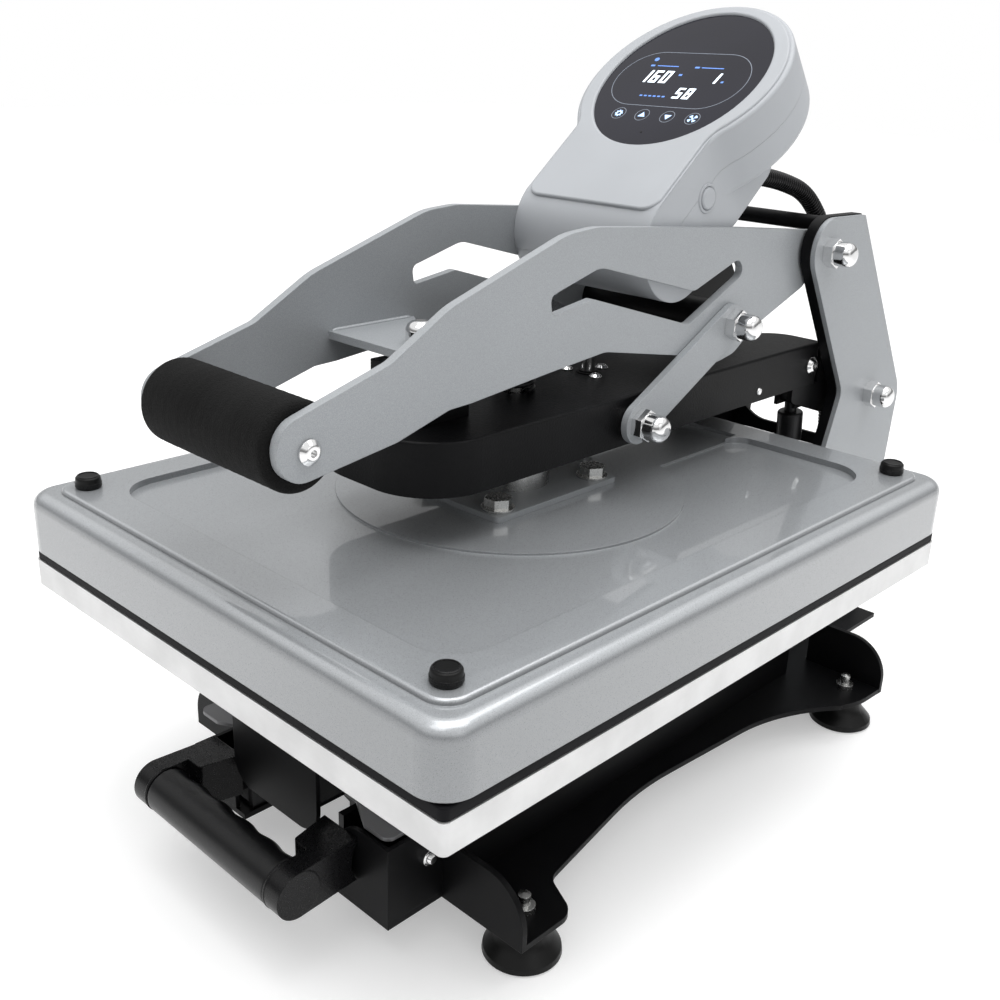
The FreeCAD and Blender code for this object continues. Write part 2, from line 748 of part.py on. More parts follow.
def keyhole_edges(radius, half, fillet, reach):
    """Sketch edges of a round head that runs, through a fillet on each side, into a straight neck."""
    centre_x = half + fillet
    centre_y = math.sqrt((radius + fillet) ** 2 - centre_x ** 2)
    touches = {}
    middles = {}
    for side in SIDES.values():
        centre = Vector(side * centre_x, centre_y, 0)
        to_head = (centre * -1).normalize()
        to_neck = Vector(-side, 0, 0)
        touches[side] = centre + to_head * fillet
        middles[side] = centre + (to_head + to_neck).normalize() * fillet
    neck_left = Vector(-half, centre_y, 0)
    neck_right = Vector(half, centre_y, 0)
    end_left = Vector(-half, reach, 0)
    end_right = Vector(half, reach, 0)
    return [Part.Arc(touches[RIGHT], Vector(0, -radius, 0), touches[LEFT]),
            Part.Arc(touches[LEFT], middles[LEFT], neck_left), Part.LineSegment(neck_left, end_left),
            Part.LineSegment(end_left, end_right), Part.LineSegment(end_right, neck_right),
            Part.Arc(neck_right, middles[RIGHT], touches[RIGHT])]


def console_solid(name, shrink, bore=0.0):
    """Outer (shrink 0) or inner volume of the console: round head, flat neck, barrel below."""
    depth = size("head_depth")
    reach = size("neck_reach")
    head = doc.addObject("PartDesign::Body", name + "_head")
    head_sketch = sketch_on(head, "XY_Plane", keyhole_edges(size("head_radius") - shrink,
                                                            size("neck_half_width") - shrink,
                                                            size("neck_fillet") + shrink, reach))
    head_pad = head.newObject("PartDesign::Pad", name + "_head_pad")
    head_pad.Profile = head_sketch
    head_pad.Length = depth - 2 * shrink
    head.Tip = head_pad
    for level, radius in ((0.0, 2.5), (depth - 2 * shrink, 9.0)):
        round_edges(head, radius, lambda edge: all(abs(vertex.Z - level) < 1e-3 for vertex in edge.Vertexes)
                    and edge.BoundBox.YMin < reach - 1)
    head.Placement = Placement(screen_frame(shrink), Rotation(AXIS_X, size("screen_tilt") - 180))
    upper_front = screen_frame(shrink, 0, -40)
    lower_front = screen_frame(shrink, 0, -124 + shrink)
    half = size("neck_half_width") - shrink
    neck = doc.addObject("PartDesign::Body", name + "_neck")
    corners = [(upper_front.y, upper_front.z), (lower_front.y, lower_front.z, 14),
               (60 + shrink, 214, 20), (94, 200 + shrink), (131 - shrink, 205, 14), (158 - shrink, 221, 18),
               (197 - shrink, 254, 12), (screen_frame(30, 0, 20).y, screen_frame(30, 0, 20).z)]
    sketch = sketch_on(neck, "YZ_Plane", outline_edges(corners))
    pad = neck.newObject("PartDesign::Pad", name + "_neck_pad")
    pad.Profile = sketch
    pad.Length = 2 * half
    neck.Tip = pad
    neck.Placement = Placement(Vector(-half, 0, 0), Rotation())
    barrel_half = size("lever_inner_face") - 0.05 - shrink
    barrel = turned(name + "_barrel", [(bore, 0), (size("barrel_radius") - shrink, 0),
                                       (size("barrel_radius") - shrink, 2 * barrel_half), (bore,
                                                                                           2 * barrel_half)],
                    Vector(-barrel_half, size("barrel_y"), size("barrel_z")), AXIS_X)
    return fuse(name, [head, neck, barrel])


def build_console():
    """Hollow two-part plastic console with an oval glass, a board and a side button."""
    wall = size("console_wall")
    tilt = math.radians(size("screen_tilt"))
    behind = Vector(0, math.sin(tilt), -math.cos(tilt))
    outer = console_solid("console_outer", 0.0)
    inner = console_solid("console_inner", wall)
    glass_window = doc.addObject("Part::Feature", "glass_window")
    half_width = size("screen_half_width")
    half_height = size("screen_half_height")
    centre = screen_frame()
    slope = Vector(0, math.cos(tilt), math.sin(tilt))

    def oval(margin, top_depth, thickness):
        """An oval prism parallel to the glass."""
        ellipse = Part.Ellipse(centre + behind * top_depth + slope * (half_height + margin),
                               centre + behind * top_depth + AXIS_X * (half_width + margin),
                               centre + behind * top_depth)
        return Part.Face(Part.Wire(ellipse.toShape())).extrude(behind * thickness)

    glass_window.Shape = oval(0.1, -1.0, wall + 2.0)
    button_hole = cylinder("button_hole", "button_radius + 0.2", "12",
                           Vector(size("neck_half_width") - 6, size("button_y"), size("button_z")), AXIS_X)
    route = hose_route()
    port_direction = (route[1] - route[0]).normalize()
    hose_port = cylinder("hose_port", "hose_radius + 0.5", "50", route[0] - port_direction * 25,
                         port_direction)
    shell = cut("console_hollow", outer, [inner, glass_window, button_hole, hose_port])
    reach = 260.0
    split = doc.addObject("Part::Box", "console_split")
    split.Length = reach
    split.Width = 2 * reach
    split.Height = reach
    split.Placement = Placement(screen_frame(size("console_split_depth")) - Vector(reach / 2, 0, 0)
                                - slope * reach, Rotation(AXIS_X, size("screen_tilt")))
    front = doc.addObject("Part::Common", "console_front")
    front.Base = shell
    front.Tool = split
    back = doc.addObject("Part::Cut", "console_back")
    back.Base = shell
    back.Tool = split
    finish(front, "console_front")
    finish(back, "console_back")
    glass = doc.addObject("Part::Feature", "console_glass")
    glass.Shape = oval(0.0, 0.0, size("screen_thickness"))
    finish(glass, "console_glass")
    board = turned("console_board", [(0, 0), (size("board_radius"), 0), (size("board_radius"), 1.6), (0,
                                                                                                      1.6)],
                   screen_frame(14), -behind)
    finish(board, "console_board")
    button = turned("console_button", [(0, 0), (size("button_radius"), 0), (size("button_radius"), 8,
                                                                            1.5), (0, 8)],
                    Vector(size("neck_half_width") - 6, size("button_y"), size("button_z")), AXIS_X)
    finish(button, "console_button")


# ---------------------------------------------------------------- hose

def hose_route():
    """Points of the cable hose, from the console's back, over the tie bar and down to the box."""
    x = size("hose_x")
    return [Vector(x, 176, 244), Vector(x, 226, 248), Vector(x, 265, 242),
            Vector(x, 306, 231), Vector(x, 340, 203), Vector(x, 358, 164), Vector(x, 368, 122),
            Vector(x, 380, 78), Vector(x, 392, 36), Vector(x, 398, -8), Vector(x, 398, -66)]


def bent_path(points):
    """Straight runs joined by tangent arcs; prints the smallest bend radius."""
    edges = []
    radii = []
    begin = points[0]
    for before, corner, after in zip(points, points[1:], points[2:]):
        to_before = (before - corner).normalize()
        to_after = (after - corner).normalize()
        half_angle = to_before.getAngle(to_after) / 2
        shorter = min((before - corner).Length, (after - corner).Length)
        radius = 0.45 * shorter * math.tan(half_angle)
        radii.append(radius)
        start, middle, end = corner_arc(before, corner, after, radius)
        edges.append(Part.LineSegment(begin, start).toShape())
        edges.append(Part.Arc(start, middle, end).toShape())
        begin = end
    edges.append(Part.LineSegment(begin, points[-1]).toShape())
    print("hose bend radii:", ", ".join(f"{radius:.0f}" for radius in radii))
    return Part.Wire(edges)


def build_hose():
    points = hose_route()
    path = bent_path(points)
    radius = size("hose_radius")
    ring = Part.Wire(Part.makeCircle(radius, points[0], points[1] - points[0]))
    tube = path.makePipeShell([ring], True, True)
    expected = math.pi * radius ** 2 * path.Length
    print(f"hose length {path.Length:.1f}, volume {tube.Volume:.0f}, section times length {expected:.0f}")
    hose = doc.addObject("Part::Feature", "control_hose")
    hose.Shape = tube
    finish(hose, "control_hose")


# ---------------------------------------------------------------- links

def build_links():
    """Two flat toggle links outside the lever plates, with their bolts, hex nuts and acorn nuts."""
    c = Vector(size("link_lever_pivot_y"), size("link_lever_pivot_z"), 0)
    d = Vector(size("link_arm_pivot_y"), size("link_arm_pivot_z"), 0)
    radius = size("link_end_radius")
    along = (c - d).normalize()
    across = Vector(-along.y, along.x, 0)
    reach = radius * 0.999
    corners = [c + along * radius + across * radius, c + along * radius - across * radius,
               d - along * radius - across * radius, d - along * radius + across * radius]
    outline = [(corner.x, corner.y, reach) for corner in corners]
    inner = size("link_inner_face")
    outer = inner + size("link_thickness")
    arm_face = size("arm_half_width")
    fasteners = []
    for side_name, side in SIDES.items():
        x = inner if side == RIGHT else -outer
        link = plate(f"link_{side_name}", "YZ_Plane", outline, "link_thickness", Vector(x, 0, 0),
                     [(c.x, c.y, size("pivot_bolt_radius")), (d.x, d.y, size("pivot_bolt_radius"))])
        finish(link, f"link_{side_name}")
        away = outward(side)
        for point, start in ((c, 53.0), (d, arm_face + 0.4)):
            tip = outer + size("hex_nut_height") + size("bolt_end")
            shank = cylinder("link_shank", "pivot_bolt_radius", "10", Vector(side * start, point.x,
                                                                             point.y), away)
            shank.Height = tip - start
            if point is c:
                collar = hex_prism("link_head", 19.6, "5", Vector(side * (start - 0.1), point.x,
                                                                  point.y), away)
            else:
                collar = cylinder("link_collar", "9", "link_inner_face - arm_half_width - 0.4",
                                  Vector(side * start, point.x, point.y), away)
            fasteners.append(fuse("link_bolt", [shank, collar]))
            fasteners.append(hex_prism("link_nut", size("hex_nut_across_corners"), "hex_nut_height",
                                       Vector(side * outer, point.x, point.y), away,
                                       size("pivot_bolt_radius")))
            fasteners.append(acorn_nut("link_acorn", Vector(side * (outer + size("hex_nut_height")),
                                                            point.x, point.y),
                                       away))
    finish(group("link_fasteners", fasteners), "link_fasteners")


# ---------------------------------------------------------------- pressing arm

def build_arm():
    """Cast arm: rounded nose in front, a rounded notch between its two rear lobes."""
    half = size("arm_half_width")
    notch = size("arm_notch_half_width")
    rear = size("arm_rear")
    outline = mirrored_outline([(half, size("arm_front"), size("arm_nose_radius")), (half, rear, 6),
                                (notch, rear, 28), (notch, size("arm_notch_bottom"))])
    body = plate("arm_casting", "XY_Plane", outline, "arm_thickness", Vector(0, 0, 0),
                 [(0, 0, size("pressure_screw_radius") + 0.05),
                  (size("guide_rod_x"), size("guide_rod_y"), size("guide_rod_radius") + 0.05)])
    thickness = size("arm_thickness")
    round_edges(body, size("arm_edge_radius"),
                lambda edge: all(abs(vertex.Z - thickness) < 1e-3 for vertex in edge.Vertexes)
                and edge.BoundBox.XLength + edge.BoundBox.YLength > 25)
    body.Placement = Placement(Vector(0, 0, size("arm_bottom")), Rotation())
    lugs = []
    for side in SIDES.values():
        for offset in (-9.8, 6.8):
            low = Vector(side * size("gas_spring_x") + offset, size("gas_top_y") - 20,
                         size("gas_top_z") - 8)
            lugs.append(box("gas_lug", low, low + Vector(3, 20, size("arm_bottom") - low.z + 0.5)))
    finish(fuse("pressing_arm", [body] + lugs), "pressing_arm")


def build_brackets():
    """Plates under and behind the arm's rear that carry it down to its pivot between the posts."""
    pivot = (size("arm_pivot_y"), size("arm_pivot_z"))
    bottom = size("arm_bottom")
    rear = size("arm_rear")
    outline = [(264, bottom), (rear, bottom), (rear, 112, 3), (324, 112, 20), (383, 84, 16), (383, 44, 16),
               (345, 44, 14), (264, 71, 6)]
    outer = size("bracket_outer_face")
    inner = outer - size("bracket_thickness")
    for side_name, side in SIDES.items():
        x = inner if side == RIGHT else -outer
        bracket = plate(f"arm_bracket_{side_name}", "YZ_Plane", outline, "bracket_thickness", Vector(x,
                                                                                                     0, 0),
                        [(*pivot, size("pivot_hole_radius"))])
        finish(bracket, f"arm_bracket_{side_name}")


def build_magnet():
    top = size("cross_plate_top") - size("cross_plate_thickness") - size("armature_thickness")
    arm_top = size("arm_bottom") + size("arm_thickness")
    half_width = size("magnet_half_width")
    half_length = size("magnet_half_length")
    y = size("magnet_y")
    body = doc.addObject("PartDesign::Body", "electromagnet_body")
    corners = [(half_width, y - half_length, 3), (half_width, y + half_length, 3), (-half_width,
                                                                                    y + half_length, 3),
               (-half_width, y - half_length, 3)]
    sketch = sketch_on(body, "XY_Plane", outline_edges(corners))
    pad = body.newObject("PartDesign::Pad", "electromagnet_pad")
    pad.Profile = sketch
    pad.Length = top - size("closing_gap") - arm_top
    body.Tip = pad
    body.Placement = Placement(Vector(0, 0, arm_top), Rotation())
    finish(body, "electromagnet")


def build_pressure_unit():
    """Screw with its shoulder, spring and knob, and the guide rod in its flange."""
    plate_top = size("cover_top") - size("cover_boss_drop") - 1 + size("mounting_plate_thickness")
    arm_bottom = size("arm_bottom")
    arm_top = arm_bottom + size("arm_thickness")
    screw = size("pressure_screw_radius")
    screw_body = turned("pressure_screw",
                        [(0, plate_top), (size("spacer_radius"), plate_top), (size("spacer_radius"),
                                                                              arm_bottom - 0.3),
                         (screw, arm_bottom - 0.3), (screw, size("pressure_screw_top")),
                         (0, size("pressure_screw_top"))], Vector(0, 0, 0))
    finish(screw_body, "pressure_screw")
    spring = doc.addObject("Part::Feature", "pressure_spring")
    pitch = size("spring_height") / size("spring_turns")
    coil = size("spring_radius")
    wire = size("spring_wire_radius")
    helix = Part.makeHelix(pitch, size("spring_height"), coil)
    ring = Part.Wire(Part.makeCircle(wire, Vector(coil, 0, 0), AXIS_Y))
    spring_shape = Part.Wire(helix.Edges).makePipeShell([ring], True, True)
    spring.Shape = spring_shape
    spring.Placement = Placement(Vector(0, 0, arm_top + wire + 0.1), Rotation())
    finish(spring, "pressure_spring")
    knob_bottom = arm_top + size("spring_height") + 2 * wire + 0.6
    radius = size("knob_radius")
    height = size("knob_height")
    hub = size("knob_hub_radius")
    hub_height = size("knob_hub_height")
    knob = turned("pressure_knob",
                  [(screw + 0.05, 0), (hub, 0, 1), (hub, hub_height), (radius - 3, hub_height, 2),
                   (radius, hub_height + 6, 5), (radius - 2, height, 6), (0, height),
                   (0, size("pressure_screw_top") - knob_bottom + 0.5),
                   (screw + 0.05, size("pressure_screw_top") - knob_bottom + 0.5)], Vector(0, 0,
                                                                                           knob_bottom))
    finish(knob, "pressure_knob")
    rod = turned("guide_rod", [(0, 0), (size("guide_rod_radius"), 0),
                               (size("guide_rod_radius"), size("guide_rod_top") - plate_top, 1),
                               (0, size("guide_rod_top") - plate_top)],
                 Vector(size("guide_rod_x"), size("guide_rod_y"), plate_top))
    finish(rod, "guide_rod")
    bore = size("guide_rod_radius") + 0.05
    flange_height = size("guide_flange_thickness")
    flange = turned("guide_flange",
                    [(bore, 0), (size("guide_flange_radius"), 0), (size("guide_flange_radius"),
                                                                   flange_height, 0.4),
                     (bore + 2, flange_height), (bore + 2, flange_height + 1), (bore, flange_height + 1)],
                    Vector(size("guide_rod_x"), size("guide_rod_y"), arm_top))
    finish(flange, "guide_flange")
    screws = []
    for third in range(3):
        angle = math.radians(90 + 120 * third)
        place = Vector(size("guide_rod_x") + size("guide_screw_circle") * math.cos(angle),
                       size("guide_rod_y") + size("guide_screw_circle") * math.sin(angle), arm_top)
        screws.append(turned("guide_screw", [(0, 0), (4.4, 0), (4.4, 1.2), (2.8, 3), (1.4, 3), (1.4, 1),
                                             (0, 1)], place))
    for side in SIDES.values():
        screws.append(button_screw("arm_side_screw", Vector(side * size("arm_half_width"), 286.8, 99.0),
                                   outward(side), 0.0))
    finish(group("arm_screws", screws), "arm_screws")


# ---------------------------------------------------------------- upper platen

def build_upper_platen():
    boss_top = size("cover_top") - size("cover_boss_drop") - 1
    half_width = size("platen_width") / 2
    half_length = size("platen_length") / 2
    skirt = size("cover_skirt_bottom")
    corner = size("cover_corner_radius")
    wall = size("cover_wall")
    height = size("cover_top") - skirt
    outer_width = half_width + size("cover_overhang_x")
    outer_length = half_length + size("cover_overhang_y")

    def inset_outline(inset, radius):
        """The cover's rounded rectangle, drawn in by an inset."""
        x = outer_width - inset
        y = outer_length - inset
        return [(x, -y, radius), (x, y, radius), (-x, y, radius), (-x, -y, radius)]

    ledge_height = height - size("cover_ledge_drop")
    lower_blank = plate("cover_blank", "XY_Plane", inset_outline(0, corner),
                        "cover_top - cover_skirt_bottom - cover_ledge_drop", Vector(0, 0, 0))
    round_edges(lower_blank, size("cover_shoulder_radius"),
                lambda edge: all(abs(vertex.Z - ledge_height) < 1e-3 for vertex in edge.Vertexes))
    step = size("cover_ledge_width")
    upper_blank = plate("cover_raised_top", "XY_Plane", inset_outline(step, corner - 5),
                        "cover_top - cover_skirt_bottom", Vector(0, 0, 0))
    round_edges(upper_blank, size("cover_step_radius"),
                lambda edge: all(abs(vertex.Z - height) < 1e-3 for vertex in edge.Vertexes))
    cover = fuse("cover_solid", [lower_blank, upper_blank])
    recess_width = size("cover_recess_half_width")
    recess_length = size("cover_recess_half_length")
    recess_corner = size("cover_recess_corner")
    depth = size("cover_recess_depth")
    recess = doc.addObject("PartDesign::Body", "cover_recess")
    spine = size("cover_spine_half_width")
    recess_outline = mirrored_outline([(recess_width, -recess_length, recess_corner),
                                       (recess_width, recess_length, recess_corner),
                                       (spine, recess_length, 16), (spine, 90)])
    recess_sketch = sketch_on(recess, "XY_Plane", outline_edges(recess_outline))
    recess_pad = recess.newObject("PartDesign::Pad", "cover_recess_pad")
    recess_pad.Profile = recess_sketch
    recess_pad.Length = depth + 5
    recess.Tip = recess_pad
    recess.Placement = Placement(Vector(0, 0, height - depth), Rotation())
    boss = cylinder("cover_boss_keep", "cover_boss_radius", "cover_recess_depth + 8", Vector(0, 0,
                                                                                             height - depth - 1))
    recess_tool = cut("cover_recess_tool", recess, [boss])
    round_floor = size("cover_boss_drop") + 1
    boss_trim = cylinder("cover_boss_trim", "cover_boss_radius + 0.01", "10", Vector(0, 0,
                                                                                     height - round_floor))
    spine_trim = box("cover_spine_trim", Vector(-spine, 80, height - round_floor),
                     Vector(spine, recess_length, height + 5))
    shaped = cut("cover_shaped", cover, [recess_tool, boss_trim, spine_trim])
    inner = plate("cover_inside", "XY_Plane", inset_outline(wall, corner - wall),
                  "cover_top - cover_skirt_bottom - cover_ledge_drop - cover_shoulder_radius", Vector(0,
                                                                                                      0, 0))
    crown = plate("cover_inside_crown", "XY_Plane", inset_outline(11, corner - 9),
                  "cover_top - cover_skirt_bottom - cover_recess_depth - cover_wall", Vector(0, 0, 0))
    shell = cut("upper_cover", shaped, [inner, crown])
    shell.Placement = Placement(Vector(0, 0, skirt), Rotation())
    finish(shell, "upper_cover")

    plate_bottom = size("pad_thickness") + size("closing_gap")
    inset = wall + 1.0
    heat_corner = size("heating_plate_corner")
    heating = plate("heating_plate", "XY_Plane",
                    [(half_width - inset, -half_length + inset, heat_corner), (half_width - inset,
                                                                               half_length - inset,
                                                                               heat_corner),
                     (-half_width + inset, half_length - inset, heat_corner), (-half_width + inset,
                                                                               -half_length + inset,
                                                                               heat_corner)],
                    "heating_plate_thickness", Vector(0, 0, plate_bottom))
    finish(heating, "heating_plate")
    board_bottom = plate_bottom + size("heating_plate_thickness")
    board = plate("insulation_board", "XY_Plane",
                  [(half_width - 16, -half_length + 16, 12), (half_width - 16, half_length - 16, 12),
                   (-half_width + 16, half_length - 16, 12), (-half_width + 16, -half_length + 16, 12)],
                  "insulation_thickness", Vector(0, 0, board_bottom))
    finish(board, "insulation_board")

    caps = []
    cap_radius = size("corner_cap_radius")
    cap_height = size("corner_cap_height")
    for x in (-size("corner_cap_x"), size("corner_cap_x")):
        for y in (-size("corner_cap_y"), size("corner_cap_y")):
            caps.append(turned("corner_cap", [(0, 0), (cap_radius, 0), (cap_radius + 0.4, 1.5),
                                              (cap_radius, cap_height, 1.8),
                                              (0, cap_height)], Vector(x, y, size("cover_top"))))
    finish(group("corner_caps", caps), "corner_caps")

    bracket_x = size("mounting_plate_half_width")
    bracket_y = size("mounting_plate_half_length")
    mounting = plate("mounting_plate", "XY_Plane",
                     [(bracket_x, -bracket_y, 4), (bracket_x, bracket_y, 4), (-bracket_x, bracket_y, 4),
                      (-bracket_x, -bracket_y, 4)], "mounting_plate_thickness", Vector(0, 0, boss_top))
    mounting_slot = cylinder("guide_seat", "guide_rod_radius + 6", "mounting_plate_thickness",
                             Vector(size("guide_rod_x"), size("guide_rod_y") - 6, boss_top))
    finish(fuse("mounting_plate_with_seat", [mounting, mounting_slot]), "mounting_plate")
    plate_top = boss_top + size("mounting_plate_thickness")
    bolts = []
    for x in (-size("platen_bolt_x"), size("platen_bolt_x")):
        for y in (-size("platen_bolt_y"), size("platen_bolt_y")):
            washer = cylinder("platen_washer", "11", "1.6", Vector(x, y, plate_top))
            head = hex_prism("platen_bolt_head", 18.9, "6.4", Vector(x, y, plate_top + 1.6), AXIS_Z)
            bolts.append(fuse("platen_bolt", [washer, head]))
    finish(group("platen_bolts", bolts), "platen_bolts")


# ---------------------------------------------------------------- drawer

def build_lower_platen():
    half_width = size("platen_width") / 2
    half_length = size("platen_length") / 2
    corner = size("lower_platen_corner")
    rectangle = [(half_width, -half_length, corner), (half_width, half_length, corner),
                 (-half_width, half_length, corner), (-half_width, -half_length, corner)]
    lower = plate("lower_platen", "XY_Plane", rectangle, "lower_platen_thickness",
                  Vector(0, 0, -size("lower_platen_thickness")))
    finish(lower, "lower_platen")
    inset = 0.4
    pad_outline = [(half_width - inset, -half_length + inset, 2), (half_width - inset,
                                                                   half_length - inset, 2),
                   (-half_width + inset, half_length - inset, 2), (-half_width + inset,
                                                                   -half_length + inset, 2)]
    pad = plate("silicone_pad", "XY_Plane", pad_outline, "pad_thickness", Vector(0, 0, 0))
    finish(pad, "silicone_pad")


def build_carriage():
    """Grey carriage plate with two front tabs, runners below it and columns above it."""
    half = size("carriage_half_width")
    front = size("carriage_front")
    top = size("carriage_top")
    outline = mirrored_outline([(54, front + 12, 3), (76, front, 3), (half, front, 6), (half,
                                                                                        size("carriage_rear"), 6)])
    carriage = plate("carriage_plate", "XY_Plane", outline, "carriage_thickness",
                     Vector(0, 0, top - size("carriage_thickness")))
    finish(carriage, "carriage_plate")
    inner = size("rail_inner_face") - 0.4
    width = size("runner_thickness")
    underside = top - size("carriage_thickness")
    runners = []
    for side in SIDES.values():
        corners = [(side * inner, -142), (side * (inner - width), -142), (side * (inner - width), -108),
                   (side * (inner - width - 14), -104), (side * (inner - width - 14), underside),
                   (side * inner, underside)]
        runners.append(plate("drawer_runner", "XZ_Plane", corners, "carriage_rear - carriage_front - 30",
                             Vector(0, size("carriage_rear") - 10, 0)))
    finish(group("drawer_runners", runners), "drawer_runners")
    columns = []
    for x in (-size("column_x"), size("column_x")):
        for y in (-size("column_y"), size("column_y")):
            columns.append(cylinder("platen_column", "column_radius",
                                    "0 - lower_platen_thickness - carriage_top",
                                    Vector(x, y, top)))
    finish(group("platen_columns", columns), "platen_columns")


def build_pull():
    """Front panel of the drawer and the moulded pull: a cross grip between two swept arms."""
    half = size("front_panel_half_width")
    panel_front = size("front_panel_front")
    thickness = size("front_panel_thickness")
    under_platen = -size("lower_platen_thickness")
    panel = plate("drawer_front_panel", "XZ_Plane",
                  mirrored_outline([(half, -118, 18), (half, under_platen)]),
                  "front_panel_thickness", Vector(0, panel_front + thickness, 0))
    foot = box("front_panel_foot", Vector(-half, panel_front + thickness - 0.5,
                                          size("carriage_top") - size("carriage_thickness")),
               Vector(half, size("carriage_front") + 12, size("carriage_top")))
    finish(fuse("drawer_front", [panel, foot]), "drawer_front_panel")
    radius = size("pull_radius")
    reach = size("pull_half_length")
    grip_half = size("pull_grip_half_length")
    y = size("pull_y")
    z = size("pull_z")
    arms = []
    for side_name, side in SIDES.items():
        cap = cylinder(f"pull_cap_{side_name}", "pull_radius", "pull_half_length - pull_grip_half_length",
                       Vector(side * grip_half, y, z), outward(side))
        rear = size("pull_arm_rear")
        sweep = plate(f"pull_sweep_{side_name}", "XY_Plane",
                      [(side * reach, y), (side * (reach - 3), rear), (side * (half + 0.5), rear),
                       (side * (reach - 27), y + 16.5, 3), (side * grip_half, y + 16.5),
                       (side * grip_half, y)],
                      "2 * pull_radius", Vector(0, 0, z - radius))
        scoop = cylinder(f"pull_scoop_{side_name}", "22", "30", Vector(side * (reach - 20), rear + 18,
                                                                       z - 2),
                         outward(side))
        arms.append(fuse(f"pull_arm_{side_name}", [cap, cut(f"pull_sweep_cut_{side_name}", sweep,
                                                            [scoop])]))
    finish(group("drawer_pull_arms", arms), "drawer_pull_arms")
    grip = turned("drawer_pull_grip", [(0, 0), (radius - 0.6, 0), (radius - 0.6, 2 * grip_half), (0,
                                                                                                  2 * grip_half)],
                  Vector(-grip_half, y, z), AXIS_X)
    finish(grip, "drawer_pull_grip")


# ---------------------------------------------------------------- gas springs

def build_gas_springs():
    """Left and right gas springs: rods pinned in the base, bodies pinned under the arm."""
    top = Vector(0, size("gas_top_y") - 10, size("gas_top_z"))
    foot = Vector(0, size("gas_foot_y"), size("gas_foot_z"))
    direction = (top - foot).normalize()
    length = (top - foot).Length
    body_radius = size("gas_body_radius")
    rod_radius = size("gas_rod_radius")
    body_start = length - size("gas_body_length") - 14
    rods = []
    bodies = []
    for side in SIDES.values():
        place = foot + Vector(side * size("gas_spring_x"), 0, 0)
        rod_turned = turned("gas_rod", [(0, 8), (rod_radius, 8), (rod_radius, body_start + 70), (0,
                                                                                                 body_start + 70)],
                            place, direction)
        foot_eye = turned("gas_foot_eye", [(size("gas_pin_radius") + 0.06, 0), (9, 0), (9, 12),
                                           (size("gas_pin_radius") + 0.06, 12)], place - Vector(6, 0,
                                                                                                0), AXIS_X)
        rods.append(fuse("gas_rod_with_eye", [rod_turned, foot_eye]))
        cavity = body_start + 110
        bore = rod_radius + 0.06
        sleeve = turned("gas_body", [(bore, body_start), (body_radius, body_start, 1.5),
                                     (body_radius, body_start + size("gas_body_length"), 2),
                                     (0, body_start + size("gas_body_length")), (0, cavity), (bore,
                                                                                              cavity)],
                        place, direction)
        upper_eye = cylinder("gas_top_eye", "7", "12", top + Vector(side * size("gas_spring_x") - 6, 0,
                                                                    0), AXIS_X)
        neck = turned("gas_top_neck", [(0, 0), (5, 0), (5, 15), (0, 15)],
                      place + direction * (length - 15), direction)
        bodies.append(fuse("gas_body_with_eye", [sleeve, neck, upper_eye]))
    finish(group("gas_spring_rods", rods), "gas_spring_rods")
    finish(group("gas_spring_bodies", bodies), "gas_spring_bodies")


# ---------------------------------------------------------------- build, check and export

def check_document():
    """Stop if any object failed or any finished piece is not a valid solid."""
    for item in doc.Objects:
        if "Invalid" in item.State or "Error" in item.State:
            raise RuntimeError(f"{item.Label} failed: {item.State}")
    for label, item in nodes:
        if item.Shape.isNull() or not item.Shape.isValid() or not item.Shape.Solids:
            raise RuntimeError(f"{label} is not a valid solid")


def export_nodes():
    os.makedirs("parts", exist_ok=True)
    for label, item in nodes:
        item.Shape.exportStep(f"parts/{label}.step")
        bounds = item.Shape.BoundBox
        print(f"{label:24s} solids {len(item.Shape.Solids):2d} volume {item.Shape.Volume:10.0f} "
              f"y {bounds.YMin:7.1f} {bounds.YMax:7.1f} z {bounds.ZMin:7.1f} {bounds.ZMax:7.1f}")


build_base()
build_feet()
build_drawer_housing()
build_drawer_rails()
build_posts()
build_rear()
build_pivots()
build_lever_plates()
build_grip()
build_cross_plate()
build_console()
build_hose()
build_links()
build_arm()
build_brackets()
build_magnet()
build_pressure_unit()
build_upper_platen()
build_lower_platen()
build_carriage()
build_pull()
build_gas_springs()
doc.recompute()
check_document()
export_nodes()
print(len(nodes), "nodes")
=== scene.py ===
import json
import math

import bmesh
import bpy
from mathutils import Matrix, Vector


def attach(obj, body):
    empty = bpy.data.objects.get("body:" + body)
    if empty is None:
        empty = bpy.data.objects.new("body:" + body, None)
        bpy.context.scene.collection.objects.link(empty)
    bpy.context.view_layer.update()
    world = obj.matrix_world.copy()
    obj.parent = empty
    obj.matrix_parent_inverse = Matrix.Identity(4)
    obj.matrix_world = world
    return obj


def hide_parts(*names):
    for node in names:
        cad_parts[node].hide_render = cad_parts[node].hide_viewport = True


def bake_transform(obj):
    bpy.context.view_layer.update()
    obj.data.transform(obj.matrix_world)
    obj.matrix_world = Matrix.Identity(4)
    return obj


# Looks of a drawer-type clamshell heat press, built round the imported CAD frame.
# The scene is in metres, +Z is up and -Y is towards the operator. Numbers that pass through at(),
# flat_mesh(), lathe_mesh() or on_screen() are millimetres.

